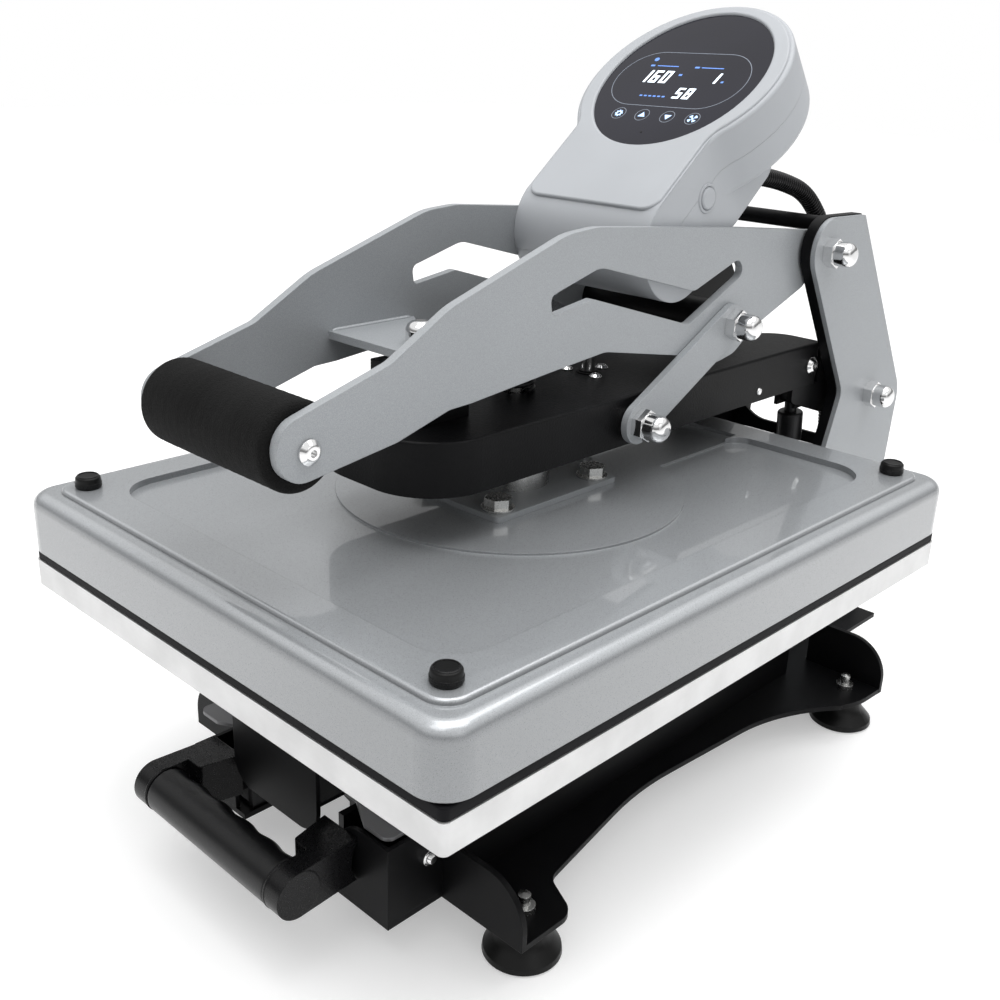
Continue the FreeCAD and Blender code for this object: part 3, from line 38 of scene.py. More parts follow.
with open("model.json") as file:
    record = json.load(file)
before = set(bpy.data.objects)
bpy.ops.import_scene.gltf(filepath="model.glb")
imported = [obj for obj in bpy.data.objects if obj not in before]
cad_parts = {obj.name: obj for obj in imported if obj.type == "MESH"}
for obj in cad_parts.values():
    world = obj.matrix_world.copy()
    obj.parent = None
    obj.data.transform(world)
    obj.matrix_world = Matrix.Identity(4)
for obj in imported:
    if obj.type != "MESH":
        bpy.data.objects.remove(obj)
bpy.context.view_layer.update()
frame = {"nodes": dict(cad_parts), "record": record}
NODES = frame["nodes"]
MM = 0.001
PLATEN_Y = -78.5
PLATEN_Z = 180.0
AXIS_X = (1, 0, 0)
AXIS_Z = (0, 0, 1)
SIDES = (("left", -1), ("right", 1))


def at(x, y, z):
    """A place in the scene, from millimetres off the middle of the lower platen's top face."""
    return Vector((x * MM, (y + PLATEN_Y) * MM, (z + PLATEN_Z) * MM))


# ---------------------------------------------------------------- materials

EVEN = (1.0, 1.0, 1.0)
BEVEL_SAMPLES = 4
FLAKE_SCALE = 3800.0
PEEL_SCALE = 420.0


def new_material(name):
    material = bpy.data.materials.new(name)
    material.use_nodes = True
    tree = material.node_tree
    shader = tree.nodes["Principled BSDF"]
    return material, tree, shader


def texture_place(tree, scale=EVEN):
    """Object coordinates in metres, scaled along each axis."""
    coords = tree.nodes.new("ShaderNodeTexCoord")
    mapping = tree.nodes.new("ShaderNodeMapping")
    mapping.inputs["Scale"].default_value = scale
    tree.links.new(coords.outputs["Object"], mapping.inputs["Vector"])
    return mapping.outputs["Vector"]


def noise(tree, place, scale, detail=3.0):
    node = tree.nodes.new("ShaderNodeTexNoise")
    node.inputs["Scale"].default_value = scale
    node.inputs["Detail"].default_value = detail
    node.inputs["Roughness"].default_value = 0.5
    tree.links.new(place, node.inputs["Vector"])
    return node.outputs["Fac"]


def ramp(tree, factor, low, high, start=0.35, end=0.65):
    """One colour up to start, another from end on, and a blend between them."""
    node = tree.nodes.new("ShaderNodeValToRGB")
    node.color_ramp.elements[0].position = start
    node.color_ramp.elements[1].position = end
    node.color_ramp.elements[0].color = (*low, 1)
    node.color_ramp.elements[1].color = (*high, 1)
    tree.links.new(factor, node.inputs["Fac"])
    return node.outputs["Color"]


def remap(tree, factor, low, high):
    node = tree.nodes.new("ShaderNodeMapRange")
    node.inputs["To Min"].default_value = low
    node.inputs["To Max"].default_value = high
    tree.links.new(factor, node.inputs["Value"])
    return node.outputs["Result"]


def multiply(tree, first, second, amount):
    """The first colour times the second, mixed in by an amount from 0 to 1."""
    node = tree.nodes.new("ShaderNodeMix")
    node.data_type = "RGBA"
    node.blend_type = "MULTIPLY"
    node.inputs["Factor"].default_value = amount
    tree.links.new(first, node.inputs["A"])
    tree.links.new(second, node.inputs["B"])
    return node.outputs["Result"]


def bump(tree, shader, height, strength, distance, edge_radius):
    """Surface relief over softly rounded edges."""
    node = tree.nodes.new("ShaderNodeBump")
    node.inputs["Strength"].default_value = strength
    node.inputs["Distance"].default_value = distance
    tree.links.new(height, node.inputs["Height"])
    bevel = tree.nodes.new("ShaderNodeBevel")
    bevel.samples = BEVEL_SAMPLES
    bevel.inputs["Radius"].default_value = edge_radius
    tree.links.new(bevel.outputs["Normal"], node.inputs["Normal"])
    tree.links.new(node.outputs["Normal"], shader.inputs["Normal"])


def shade(name, colour, variation=0.04, metallic=0.0, roughness=0.5, grain=900.0,
          grain_strength=0.1, grain_depth=0.0002, edge=0.0006, blotch=18.0, stretch=None,
          specular=0.5, rough_spread=0.06):
    """A painted, moulded or machined surface: blotches of tone over a fine grain."""
    material, tree, shader = new_material(name)
    place = texture_place(tree)
    fine_place = texture_place(tree, stretch) if stretch else place
    broad = noise(tree, place, blotch, 4.0)
    fine = noise(tree, fine_place, grain, 2.0)
    low = [max(channel - variation * channel, 0.0) for channel in colour]
    high = [channel + variation * channel for channel in colour]
    tree.links.new(ramp(tree, broad, low, high), shader.inputs["Base Color"])
    gloss = remap(tree, fine, roughness - rough_spread, roughness + rough_spread)
    tree.links.new(gloss, shader.inputs["Roughness"])
    shader.inputs["Metallic"].default_value = metallic
    shader.inputs["Specular IOR Level"].default_value = specular
    bump(tree, shader, fine, grain_strength, grain_depth, edge)
    return material


def flake_paint(name, colour, roughness, coat, sparkle, metallic=0.35, coat_roughness=0.1,
                side_tone=1.0):
    """Metallic paint: very fine flakes under a clear coat.

    side_tone multiplies the colour of faces that stand upright in the scene. It imitates a
    studio light from above, so it isn't a property of the paint; 1 leaves the colour alone.
    """
    material, tree, shader = new_material(name)
    place = texture_place(tree)
    cells = tree.nodes.new("ShaderNodeTexVoronoi")
    cells.inputs["Scale"].default_value = FLAKE_SCALE
    tree.links.new(place, cells.inputs["Vector"])
    flake = tree.nodes.new("ShaderNodeSeparateColor")
    tree.links.new(cells.outputs["Color"], flake.inputs["Color"])
    low = [channel * (1 - sparkle) for channel in colour]
    high = [min(channel * (1 + sparkle), 1.0) for channel in colour]
    flakes = ramp(tree, flake.outputs["Red"], low, high, 0.0, 1.0)
    clouds = ramp(tree, noise(tree, place, 9.0), (0.95, 0.95, 0.95), EVEN)
    facing = tree.nodes.new("ShaderNodeNewGeometry")
    upward = tree.nodes.new("ShaderNodeSeparateXYZ")
    tree.links.new(facing.outputs["Normal"], upward.inputs["Vector"])
    sides = ramp(tree, upward.outputs["Z"], (side_tone,) * 3, EVEN, 0.25, 0.8)
    tone = multiply(tree, multiply(tree, flakes, clouds, 0.5), sides, 1.0)
    tree.links.new(tone, shader.inputs["Base Color"])
    gloss = remap(tree, flake.outputs["Green"], roughness - 0.05, roughness + 0.05)
    tree.links.new(gloss, shader.inputs["Roughness"])
    shader.inputs["Metallic"].default_value = metallic
    shader.inputs["Coat Weight"].default_value = coat
    shader.inputs["Coat Roughness"].default_value = coat_roughness
    peel = noise(tree, place, PEEL_SCALE, 2.0)
    bump(tree, shader, peel, 0.06, 0.0001, 0.0008)
    return material


MATERIALS = {
    "silver_paint": flake_paint("silver paint", (0.33, 0.345, 0.36), 0.5, 0.1, 0.14),
    "cover_paint": flake_paint("cover paint", (0.37, 0.385, 0.40), 0.32, 1.0, 0.16,
                               metallic=0.45, coat_roughness=0.04, side_tone=0.6),
    "black_coat": shade("black powder coat", (0.0035, 0.0035, 0.004), 0.2, 0.0, 0.4, 1500.0, 0.3,
                        0.0002, specular=0.1),
    "black_cast": shade("black cast arm", (0.004, 0.004, 0.0045), 0.25, 0.0, 0.45, 700.0, 0.6,
                        0.0003, specular=0.12),
    "carriage_paint": shade("carriage paint", (0.16, 0.16, 0.165), 0.05, 0.5, 0.36),
    "console_plastic": shade("console plastic", (0.37, 0.385, 0.405), 0.02, 0.0, 0.42, 1800.0,
                             0.06, 0.0001, 0.0012, specular=0.3),
    "board_green": shade("circuit board", (0.01, 0.10, 0.04), 0.3, 0.0, 0.4),
    "black_plastic": shade("black plastic", (0.004, 0.004, 0.0045), 0.2, 0.0, 0.28, 1200.0, 0.2,
                           0.0001, 0.001, specular=0.22),
    "foam_rubber": shade("foam rubber", (0.005, 0.005, 0.005), 0.5, 0.0, 0.75, 1100.0, 1.0,
                         0.0010, 0.002, specular=0.14),
    "black_rubber": shade("black rubber", (0.004, 0.004, 0.004), 0.3, 0.0, 0.35, 900.0, 0.2,
                          0.0002, 0.001, specular=0.2),
    "silicone": shade("silicone", (0.004, 0.004, 0.005), 0.2, 0.0, 0.6, 900.0, 0.1, 0.0001,
                      specular=0.1),
    "platen_aluminium": shade("milled aluminium", (0.60, 0.60, 0.60), 0.07, 0.6, 0.38, 300.0, 0.3,
                              0.0002, 0.0006, blotch=30.0, stretch=(0.15, 0.15, 8.0),
                              rough_spread=0.12),
    "bright_steel": shade("zinc plated steel", (0.55, 0.55, 0.54), 0.12, 1.0, 0.26, 500.0, 0.15,
                          0.0001, 0.0004, blotch=60.0),
    "chrome_plate": shade("chrome", (0.75, 0.75, 0.75), 0.03, 1.0, 0.1, 800.0, 0.04, 0.0001,
                          0.0004, blotch=80.0, rough_spread=0.04),
    "black_steel": shade("blackened steel", (0.010, 0.010, 0.011), 0.2, 0.5, 0.4),
    "insulation": shade("insulation board", (0.6, 0.56, 0.45), 0.15, 0.0, 0.9, 400.0, 0.5,
                        0.0004),
}


def glass_material():
    """Dark display glass: a nearly black, polished face with a faint blue cast."""
    material, tree, shader = new_material("display glass")
    place = texture_place(tree)
    broad = noise(tree, place, 12.0, 2.0)
    tone = ramp(tree, broad, (0.006, 0.006, 0.012), (0.009, 0.009, 0.017))
    tree.links.new(tone, shader.inputs["Base Color"])
    gloss = remap(tree, noise(tree, place, 300.0), 0.05, 0.09)
    tree.links.new(gloss, shader.inputs["Roughness"])
    shader.inputs["Specular IOR Level"].default_value = 0.3
    return material


def glow_material(name, colour, strength):
    """Lit display segments, slightly uneven as behind smoked glass."""
    material, tree, shader = new_material(name)
    uneven = noise(tree, texture_place(tree), 250.0, 2.0)
    tone = ramp(tree, uneven, [channel * 0.9 for channel in colour], colour)
    tree.links.new(tone, shader.inputs["Emission Color"])
    tree.links.new(tone, shader.inputs["Base Color"])
    shader.inputs["Emission Strength"].default_value = strength
    shader.inputs["Roughness"].default_value = 0.4
    return material


MATERIALS["display_glass"] = glass_material()
GLOW_WHITE = glow_material("lit digits", (0.80, 0.90, 1.0), 1.5)
GLOW_BLUE = glow_material("lit marks", (0.10, 0.22, 0.60), 0.8)
GLOW_ICON = glow_material("lit icons", (0.45, 0.65, 1.0), 0.9)
# Painted glow: the printed rings on the glass give off a faint light of their own, though print
# gives off no light.
GLOW_PAINTED_RING = glow_material("printed rings with painted glow", (0.16, 0.18, 0.22), 0.35)
HOSE_PLASTIC = shade("hose plastic", (0.004, 0.004, 0.0045), 0.2, 0.0, 0.34, 900.0, 0.1, 0.0001,
                     specular=0.2)
GRIP_PLASTIC = shade("moulded grip", (0.004, 0.004, 0.0045), 0.2, 0.0, 0.3, 1400.0, 0.5, 0.0002,
                     specular=0.3)


def dress(obj, material):
    obj.data.materials.clear()
    obj.data.materials.append(material)


for entry in frame["record"]["subparts"]:
    dress(NODES[entry["node"]], MATERIALS[entry["material_slot"]])
# Painted shade: the drawer's rails and runners are bright steel in the record but dressed in
# blackened steel, so they look as dark as the shadow they sit in.
for slide_in_painted_shade in ("drawer_rails", "drawer_runners"):
    dress(NODES[slide_in_painted_shade], MATERIALS["black_steel"])


# ---------------------------------------------------------------- mesh helpers

SHARP_ANGLE = math.radians(38)


def add_piece(name, mesh, body, slot_name, material=None, stands_for=()):
    """Show a mesh as one piece of the object, moving with a CAD body."""
    piece = bpy.data.objects.new(name, mesh)
    bpy.context.collection.objects.link(piece)
    for polygon in mesh.polygons:
        polygon.use_smooth = True
    mesh.set_sharp_from_angle(angle=SHARP_ANGLE)
    dress(piece, material or MATERIALS[slot_name])
    if body:
        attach(piece, body)
    if stands_for:
        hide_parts(*stands_for)
    return piece


def flat_mesh(name, outlines, thickness, bevel=0.0):
    """Filled outlines in the XY plane, thickened evenly to both sides; holes run clockwise."""
    curve = bpy.data.curves.new(name, "CURVE")
    curve.dimensions = "2D"
    curve.fill_mode = "BOTH"
    curve.extrude = (thickness / 2 - bevel) * MM
    curve.bevel_depth = bevel * MM
    curve.bevel_resolution = 3
    curve.offset = -bevel * MM
    for outline in outlines:
        spline = curve.splines.new("POLY")
        spline.points.add(len(outline) - 1)
        for point, (x, y) in zip(spline.points, outline):
            point.co = (x * MM, y * MM, 0, 1)
        spline.use_cyclic_u = True
    holder = bpy.data.objects.new(name, curve)
    bpy.context.collection.objects.link(holder)
    depsgraph = bpy.context.evaluated_depsgraph_get()
    mesh = bpy.data.meshes.new_from_object(holder.evaluated_get(depsgraph))
    bpy.data.objects.remove(holder)
    bpy.data.curves.remove(curve)
    mesh.name = name
    return mesh


def polar(centre, radius, angle):
    """The point at an angle in radians and a radius from a centre."""
    return (centre[0] + radius * math.cos(angle), centre[1] + radius * math.sin(angle))


def arc(centre, radius, start, end, steps=16):
    """Points of an arc in degrees, anticlockwise when end is larger than start."""
    return [polar(centre, radius, math.radians(start + (end - start) * step / steps))
            for step in range(steps + 1)]


def circle(centre, radius, steps):
    """A closed anticlockwise circle."""
    return arc(centre, radius, 0, 360, steps)[:-1]


def hole(centre, radius, steps):
    """A closed clockwise circle."""
    return arc(centre, radius, 360, 0, steps)[:-1]


def join_rings(mesh, near, far):
    """Quads between two rings that have equally many points."""
    for step in range(len(near)):
        following = (step + 1) % len(near)
        mesh.faces.new((near[step], near[following], far[following], far[step]))


def cap_rings(mesh, rings):
    mesh.faces.new(rings[0])
    mesh.faces.new(rings[-1])


def finished_mesh(name, mesh, matrix=None):
    """Mesh data from a bmesh, with its faces turned outwards and moved by a matrix if given."""
    bmesh.ops.recalc_face_normals(mesh, faces=mesh.faces)
    if matrix is not None:
        bmesh.ops.transform(mesh, matrix=matrix, verts=mesh.verts)
    data = bpy.data.meshes.new(name)
    mesh.to_mesh(data)
    mesh.free()
    return data


def lathe_mesh(name, profile, place, axis, segments=48):
    """A closed profile of (radius, height) corners, turned about an axis through a place."""
    turn = Vector(AXIS_Z).rotation_difference(Vector(axis)).to_matrix().to_4x4()
    mesh = bmesh.new()
    rings = []
    for radius, height in profile:
        ring = []
        for step in range(segments):
            angle = 2 * math.pi * step / segments
            corner = (radius * MM * math.cos(angle), radius * MM * math.sin(angle), height * MM)
            ring.append(mesh.verts.new(corner))
        rings.append(ring)
    for lower, upper in zip(rings, rings[1:] + rings[:1]):
        join_rings(mesh, lower, upper)
    bmesh.ops.remove_doubles(mesh, verts=mesh.verts, dist=1e-7)
    return finished_mesh(name, mesh, Matrix.Translation(place) @ turn)


def add_turned(name, profile, place, axis, body, slot_name, segments=48):
    mesh = lathe_mesh(name, profile, place, axis, segments)
    return add_piece(name, mesh, body, slot_name)


def tube_mesh(name, centres, radii, sideways, segments):
    """A closed tube of changing radius along points of the scene.

    sideways is one direction that lies across the whole path.
    """
    mesh = bmesh.new()
    across = sideways.normalized()
    rings = []
    for index, (centre, radius) in enumerate(zip(centres, radii)):
        ahead = centres[min(index + 1, len(centres) - 1)] - centres[max(index - 1, 0)]
        upward = ahead.normalized().cross(across)
        ring = []
        for step in range(segments):
            angle = 2 * math.pi * step / segments
            outward = across * math.cos(angle) + upward * math.sin(angle)
            ring.append(mesh.verts.new(centre + outward * radius))
        rings.append(ring)
    for near, far in zip(rings, rings[1:]):
        join_rings(mesh, near, far)
    cap_rings(mesh, rings)
    return finished_mesh(name, mesh)


# ---------------------------------------------------------------- console

TILT = math.radians(39.3)
SCREEN_CENTRE = (0.0, 160.8, 314.3)
NECK_HALF = 56.4
NECK_BOTTOM = -124.6
NECK_CORNER = 12.0
NECK_FILLET = 30.0
BEZEL_RADIUS = 76.4
GLASS_HALF_WIDTH = 64.3
GLASS_HALF_HEIGHT = 68.5
GLASS_GAP = 0.3
PANEL_THICKNESS, PANEL_LIFT, PANEL_BEVEL = 3.6, -0.2, 1.3
LIT_THICKNESS, LIT_LIFT = 0.12, 0.08
PRINT_THICKNESS, PRINT_LIFT = 0.1, 0.07
BUTTON_PLACE = (58.2, 121.0, 240.6)
BUTTON_COLLAR = [(7.6, -0.5), (10.2, -0.5), (10.2, 0.3), (9.7, 0.9), (8.4, 0.9), (7.6, 0.2)]

SEGMENTS_OF_DIGIT = {"0": "abcdef", "1": "bc", "5": "acdfg", "6": "acdefg", "8": "abcdefg"}
SEGMENT_GAP = 0.06
DIGIT_SLANT = 0.12
# digit, left, bottom, width, height and stroke of every lit digit
DIGITS = (("1", -35.4, -5.6, 6.2, 12.6, 1.8), ("6", -26.6, -5.6, 6.2, 12.6, 1.8),
          ("0", -17.6, -5.6, 6.2, 12.6, 1.8), ("5", 3.6, -20.4, 5.6, 10.8, 1.7),
          ("8", 11.8, -20.4, 5.6, 10.8, 1.7), ("1", 23.8, -3.4, 6.0, 10.2, 1.8))
# left, right, middle height and width of the bars that stand for words
BARS = ((-28.5, -10.0, 12.0, 0.8), (10.0, 28.5, 11.8, 0.8), (-34.5, -31.0, 12.0, 1.6),
        (4.4, 8.2, 11.8, 1.6), (-4.4, -1.8, 3.4, 1.8), (34.0, 36.0, -1.8, 1.6))
DASH_COUNT, DASH_PITCH = 6, 3.9
DASH_LEFT, DASH_RIGHT, DASH_MIDDLE, DASH_WIDTH = -24.4, -22.0, -19.4, 1.3
DOT_PLACE, DOT_RADIUS = (-33.4, 18.6), 1.9
SENSOR_PLACE, SENSOR_RADIUS = (0.5, -55.3), 0.9

ICON_ROW = -38.7
ICON_PLACES = (-30.2, -9.5, 12.2, 33.3)
ICON_RING, ICON_RING_WIDTH = 5.7, 0.45
ARROW_HALF, ARROW_RISE = 3.0, 2.8
GEAR_INNER, GEAR_OUTER, GEAR_TEETH, GEAR_HOLE = 2.3, 3.3, 8, 1.3
FAN_RADIUS = 3.7
STADIUM_MIDDLE, STADIUM_REACH = (-1.0, -1.4), 27.4
STADIUM_RADIUS, STADIUM_WIDTH = 28.2, 0.5


def screen_matrix(lift):
    """Places flat work on the tilted screen, lifted off the glass by some millimetres."""
    slope = Vector((0, math.cos(TILT), math.sin(TILT)))
    normal = Vector((0, -math.sin(TILT), math.cos(TILT)))
    place = at(*SCREEN_CENTRE) + normal * lift * MM
    axes = Matrix((Vector(AXIS_X), slope, normal)).transposed().to_4x4()
    return Matrix.Translation(place) @ axes


def on_screen(name, outlines, thickness, lift, bevel=0.0):
    mesh = flat_mesh(name, outlines, thickness, bevel)
    mesh.transform(screen_matrix(lift))
    return mesh


def add_lit(name, outlines, material):
    mesh = on_screen(name, outlines, LIT_THICKNESS, LIT_LIFT)
    add_piece(name, mesh, "lever", "display_glass", material)


def bezel_outline():
    """Keyhole outline: the round head running into the neck's front panel."""
    centre_x = NECK_HALF + NECK_FILLET
    centre_y = -math.sqrt((BEZEL_RADIUS + NECK_FILLET) ** 2 - centre_x ** 2)
    turn = math.degrees(math.atan2(centre_y, centre_x))
    corner_x, corner_y = NECK_HALF - NECK_CORNER, NECK_BOTTOM + NECK_CORNER
    head = arc((0, 0), BEZEL_RADIUS, turn, 180 - turn, 96)
    left_fillet = arc((-centre_x, centre_y), NECK_FILLET, -turn, 0, 12)
    right_fillet = arc((centre_x, centre_y), NECK_FILLET, 180, 180 + turn, 12)
    left_corner = arc((-corner_x, corner_y), NECK_CORNER, 180, 270, 12)
    right_corner = arc((corner_x, corner_y), NECK_CORNER, 270, 360, 12)
    return head + left_fillet[1:] + left_corner + right_corner + right_fillet[:-1]


def ellipse_outline(half_width, half_height, steps=96):
    """Clockwise ellipse, for a hole."""
    angles = [-2 * math.pi * step / steps for step in range(steps)]
    return [(half_width * math.cos(angle), half_height * math.sin(angle)) for angle in angles]


def digit_outlines(digit, left, bottom, width, height, stroke):
    """Seven-segment digit made of slanted bars that meet at its corners without overlapping."""
    lit = SEGMENTS_OF_DIGIT[digit]
    half = height / 2
    inner_left = stroke + SEGMENT_GAP
    inner_right = width - stroke - SEGMENT_GAP
    upper_left = half + SEGMENT_GAP if "e" in lit else half - stroke / 2
    upper_right = half + SEGMENT_GAP if "c" in lit else half - stroke / 2
    lower_left = half - SEGMENT_GAP if "f" in lit else half + stroke / 2
    lower_right = half - SEGMENT_GAP if "b" in lit else half + stroke / 2
    bars = {
        "a": (inner_left if "f" in lit else 0, height - stroke,
              inner_right if "b" in lit else width, height),
        "g": (inner_left, half - stroke / 2, inner_right, half + stroke / 2),
        "d": (inner_left if "e" in lit else 0, 0, inner_right if "c" in lit else width, stroke),
        "f": (0, upper_left, stroke, height),
        "b": (width - stroke, upper_right, width, height),
        "e": (0, 0, stroke, lower_left),
        "c": (width - stroke, 0, width, lower_right),
    }
    outlines = []
    for name in lit:
        x0, y0, x1, y1 = bars[name]
        corners = [(x0, y0), (x1, y0), (x1, y1), (x0, y1)]
        outlines.append([(left + x + DIGIT_SLANT * y, bottom + y) for x, y in corners])
    return outlines


def bar_outline(left, right, middle, width):
    low, high = middle - width / 2, middle + width / 2
    return [(left, low), (right, low), (right, high), (left, high)]


def arrow_outline(place, direction):
    """Triangle that points up or down, for a direction of 1 or -1."""
    base = ICON_ROW - direction * ARROW_RISE * 0.6
    corners = [(place - ARROW_HALF, base), (place + ARROW_HALF, base),
               (place, ICON_ROW + direction * ARROW_RISE)]
    return corners[::direction]


def gear_outline(centre, inner, outer, teeth):
    steps = teeth * 4
    return [polar(centre, outer if step % 4 in (0, 1) else inner, 2 * math.pi * step / steps)
            for step in range(steps)]


def fan_outlines(centre, radius):
    """Four blades round a hub."""
    outlines = [circle(centre, radius * 0.24, 16)]
    for quarter in range(4):
        start = 90 * quarter + 20
        tip = arc(centre, radius, start, start + 48, 8)
        root = arc(centre, radius * 0.34, start + 30, start, 4)
        outlines.append(tip + root)
    return outlines


def build_display():
    """Lit icons, digits and marks, printed rings and the sensor window."""
    gear_place, up_place, down_place, fan_place = ((place, ICON_ROW) for place in ICON_PLACES)
    icons = [gear_outline(gear_place, GEAR_INNER, GEAR_OUTER, GEAR_TEETH),
             hole(gear_place, GEAR_HOLE, 24), arrow_outline(up_place[0], 1),
             arrow_outline(down_place[0], -1)]
    add_lit("console_lit_icons", icons + fan_outlines(fan_place, FAN_RADIUS), GLOW_ICON)

    digits = [outline for digit in DIGITS for outline in digit_outlines(*digit)]
    add_lit("console_lit_digits", digits, GLOW_WHITE)

    marks = [bar_outline(*bar) for bar in BARS]
    for step in range(DASH_COUNT):
        marks.append(bar_outline(DASH_LEFT + DASH_PITCH * step, DASH_RIGHT + DASH_PITCH * step,
                                 DASH_MIDDLE, DASH_WIDTH))
    marks.append(circle(DOT_PLACE, DOT_RADIUS, 20))
    add_lit("console_lit_marks", marks, GLOW_BLUE)

    rings = []
    for place in ICON_PLACES:
        rings.append(circle((place, ICON_ROW), ICON_RING, 48))
        rings.append(hole((place, ICON_ROW), ICON_RING - ICON_RING_WIDTH, 48))
    middle_x, middle_y = STADIUM_MIDDLE
    for radius, order in ((STADIUM_RADIUS, 1), (STADIUM_RADIUS - STADIUM_WIDTH, -1)):
        stadium = (arc((middle_x + STADIUM_REACH, middle_y), radius, -90, 90, 24)
                   + arc((middle_x - STADIUM_REACH, middle_y), radius, 90, 270, 24))
        rings.append(stadium[::order])
    # The printed rings glow faintly with painted light.
    printed = on_screen("console_printed_rings_painted_glow", rings, PRINT_THICKNESS, PRINT_LIFT)
    add_piece("console_printed_rings_painted_glow", printed, "lever", "display_glass", GLOW_PAINTED_RING)

    window = [circle(SENSOR_PLACE, SENSOR_RADIUS, 20)]
    sensor = on_screen("console_sensor_window", window, PRINT_THICKNESS, PRINT_LIFT)
    add_piece("console_sensor_window", sensor, "lever", "black_plastic")


def build_console():
    outlines = [bezel_outline(),
                ellipse_outline(GLASS_HALF_WIDTH + GLASS_GAP, GLASS_HALF_HEIGHT + GLASS_GAP)]
    bezel = on_screen("console_front_panel", outlines, PANEL_THICKNESS, PANEL_LIFT, PANEL_BEVEL)
    add_piece("console_front_panel", bezel, "lever", "console_plastic")
    add_turned("side_button_collar", BUTTON_COLLAR, at(*BUTTON_PLACE), AXIS_X, "lever",
               "console_plastic")
    build_display()


# ---------------------------------------------------------------- hose, grip, pad and pull

HOSE_X = 25.0
# (y, z) corners of the hose's route, from the console down to the cable gland
HOSE_ROUTE = ((176, 244), (226, 248), (265, 242), (306, 231), (340, 203), (358, 164), (368, 122),
              (380, 78), (392, 36), (398, -8), (398, -66))
HOSE_BEND_REACH = 0.45
HOSE_BEND_STEPS = 8
HOSE_SPACING = 0.8
HOSE_RIBS = (7.0, 6.7, 6.1, 6.7)
HOSE_SEGMENTS = 24
GLAND = [(7.3, 0), (11, 0), (11, 5), (10, 6), (10, 9), (8.6, 11), (7.3, 11)]

FOAM_PLACE = (0, -218.7, 137.1)
FOAM_HALF, FOAM_RADIUS, FOAM_BORE = 57.8, 24.8, 12.6
FOAM_ROUNDING = 4
FOAM_STATIONS = 40
FOAM_SEGMENTS = 96

PAD_HALF_X, PAD_HALF_Y = 199.6, 249.6
PAD_CORNER, PAD_THICKNESS, PAD_BEVEL = 5.0, 8.0, 1.2

PULL_PLACE = (0.0, -242.5, -118.0)
PULL_HALF, PULL_RADIUS = 61.9, 14.9
PULL_SEGMENTS, PULL_STATIONS = 72, 100
PULL_WAVES, PULL_WAVE_DEPTH = 5, 1.9
PULL_ROUNDING, PULL_ROUNDING_LENGTH = 1.2, 1.6
PULL_RING = [(13.2, -0.7), (15.15, -0.7), (15.35, 0), (15.15, 0.7), (13.2, 0.7)]
PULL_RING_X = 63.2


def rounded_route():
    """Dense points along the hose: straight runs joined by tangent arcs."""
    corners = [Vector(corner) for corner in HOSE_ROUTE]
    dense = [corners[0]]
    for before, corner, after in zip(corners, corners[1:], corners[2:]):
        to_before = (before - corner).normalized()
        to_after = (after - corner).normalized()
        half_angle = to_before.angle(to_after) / 2
        reach = HOSE_BEND_REACH * min((before - corner).length, (after - corner).length)
        start = corner + to_before * reach
        end = corner + to_after * reach
        centre = corner + (to_before + to_after).normalized() * reach / math.cos(half_angle)
        sweep = (start - centre).angle_signed(end - centre)
        for step in range(HOSE_BEND_STEPS + 1):
            turned = (start - centre).copy()
            turned.rotate(Matrix.Rotation(-sweep * step / HOSE_BEND_STEPS, 2))
            dense.append(centre + turned)
    dense.append(corners[-1])
    return dense


def even_points(points, spacing):
    """Points at an even spacing along a run of points."""
    spaced = [points[0]]
    carried = 0.0
    for near, far in zip(points, points[1:]):
        length = (far - near).length
        place = spacing - carried
        while place <= length:
            spaced.append(near.lerp(far, place / length))
            place += spacing
        carried = length - (place - spacing)
    return spaced


def build_hose():
    """Corrugated hose on a fixed route with rounded bends, from the console down to the base, and
    its gland.
    """
    route = even_points(rounded_route(), HOSE_SPACING)
    centres = [at(HOSE_X, point.x, point.y) for point in route]
    radii = [HOSE_RIBS[index % len(HOSE_RIBS)] * MM for index in range(len(centres))]
    mesh = tube_mesh("corrugated_hose", centres, radii, Vector(AXIS_X), HOSE_SEGMENTS)
    hose = add_piece("corrugated_hose", mesh, None, "black_plastic", HOSE_PLASTIC,
                     ["control_hose"])
    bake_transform(hose)
    add_turned("hose_gland", GLAND, at(HOSE_X, 398, -58), AXIS_Z, "base", "black_plastic")


def build_grip():
    """Foam sleeve: soft rounded ends and a slightly uneven skin."""
    straight = FOAM_HALF - FOAM_ROUNDING
    core = FOAM_RADIUS - FOAM_ROUNDING
    bend = [(FOAM_ROUNDING * math.sin(math.radians(angle)),
             FOAM_ROUNDING * math.cos(math.radians(angle))) for angle in range(0, 91, 15)]
    profile = [(FOAM_BORE, -FOAM_HALF)]
    profile += [(core + out, -straight - along) for out, along in bend]
    for step in range(1, FOAM_STATIONS):
        place = -straight + 2 * straight * step / FOAM_STATIONS
        skin = 0.12 * math.sin(place * 0.9) + 0.06 * math.sin(place * 2.3)
        profile.append((FOAM_RADIUS + skin, place))
    profile += [(core + out, straight + along) for along, out in bend]
    profile.append((FOAM_BORE, FOAM_HALF))
    mesh = lathe_mesh("foam_grip", profile, at(*FOAM_PLACE), AXIS_X, FOAM_SEGMENTS)
    foam = add_piece("foam_grip", mesh, "lever", "foam_rubber", stands_for=["grip_foam"])


def rounded_rectangle(half_x, half_y, radius):
    x, y = half_x - radius, half_y - radius
    return (arc((x, -y), radius, -90, 0, 8) + arc((x, y), radius, 0, 90, 8)
            + arc((-x, y), radius, 90, 180, 8) + arc((-x, -y), radius, 180, 270, 8))


def build_pad():
    outline = rounded_rectangle(PAD_HALF_X, PAD_HALF_Y, PAD_CORNER)
    mesh = flat_mesh("silicone_sheet", [outline], PAD_THICKNESS, PAD_BEVEL)
    mesh.transform(Matrix.Translation(at(0, 0, PAD_THICKNESS / 2)))
    pad = add_piece("silicone_sheet", mesh, "drawer", "silicone", stands_for=["silicone_pad"])


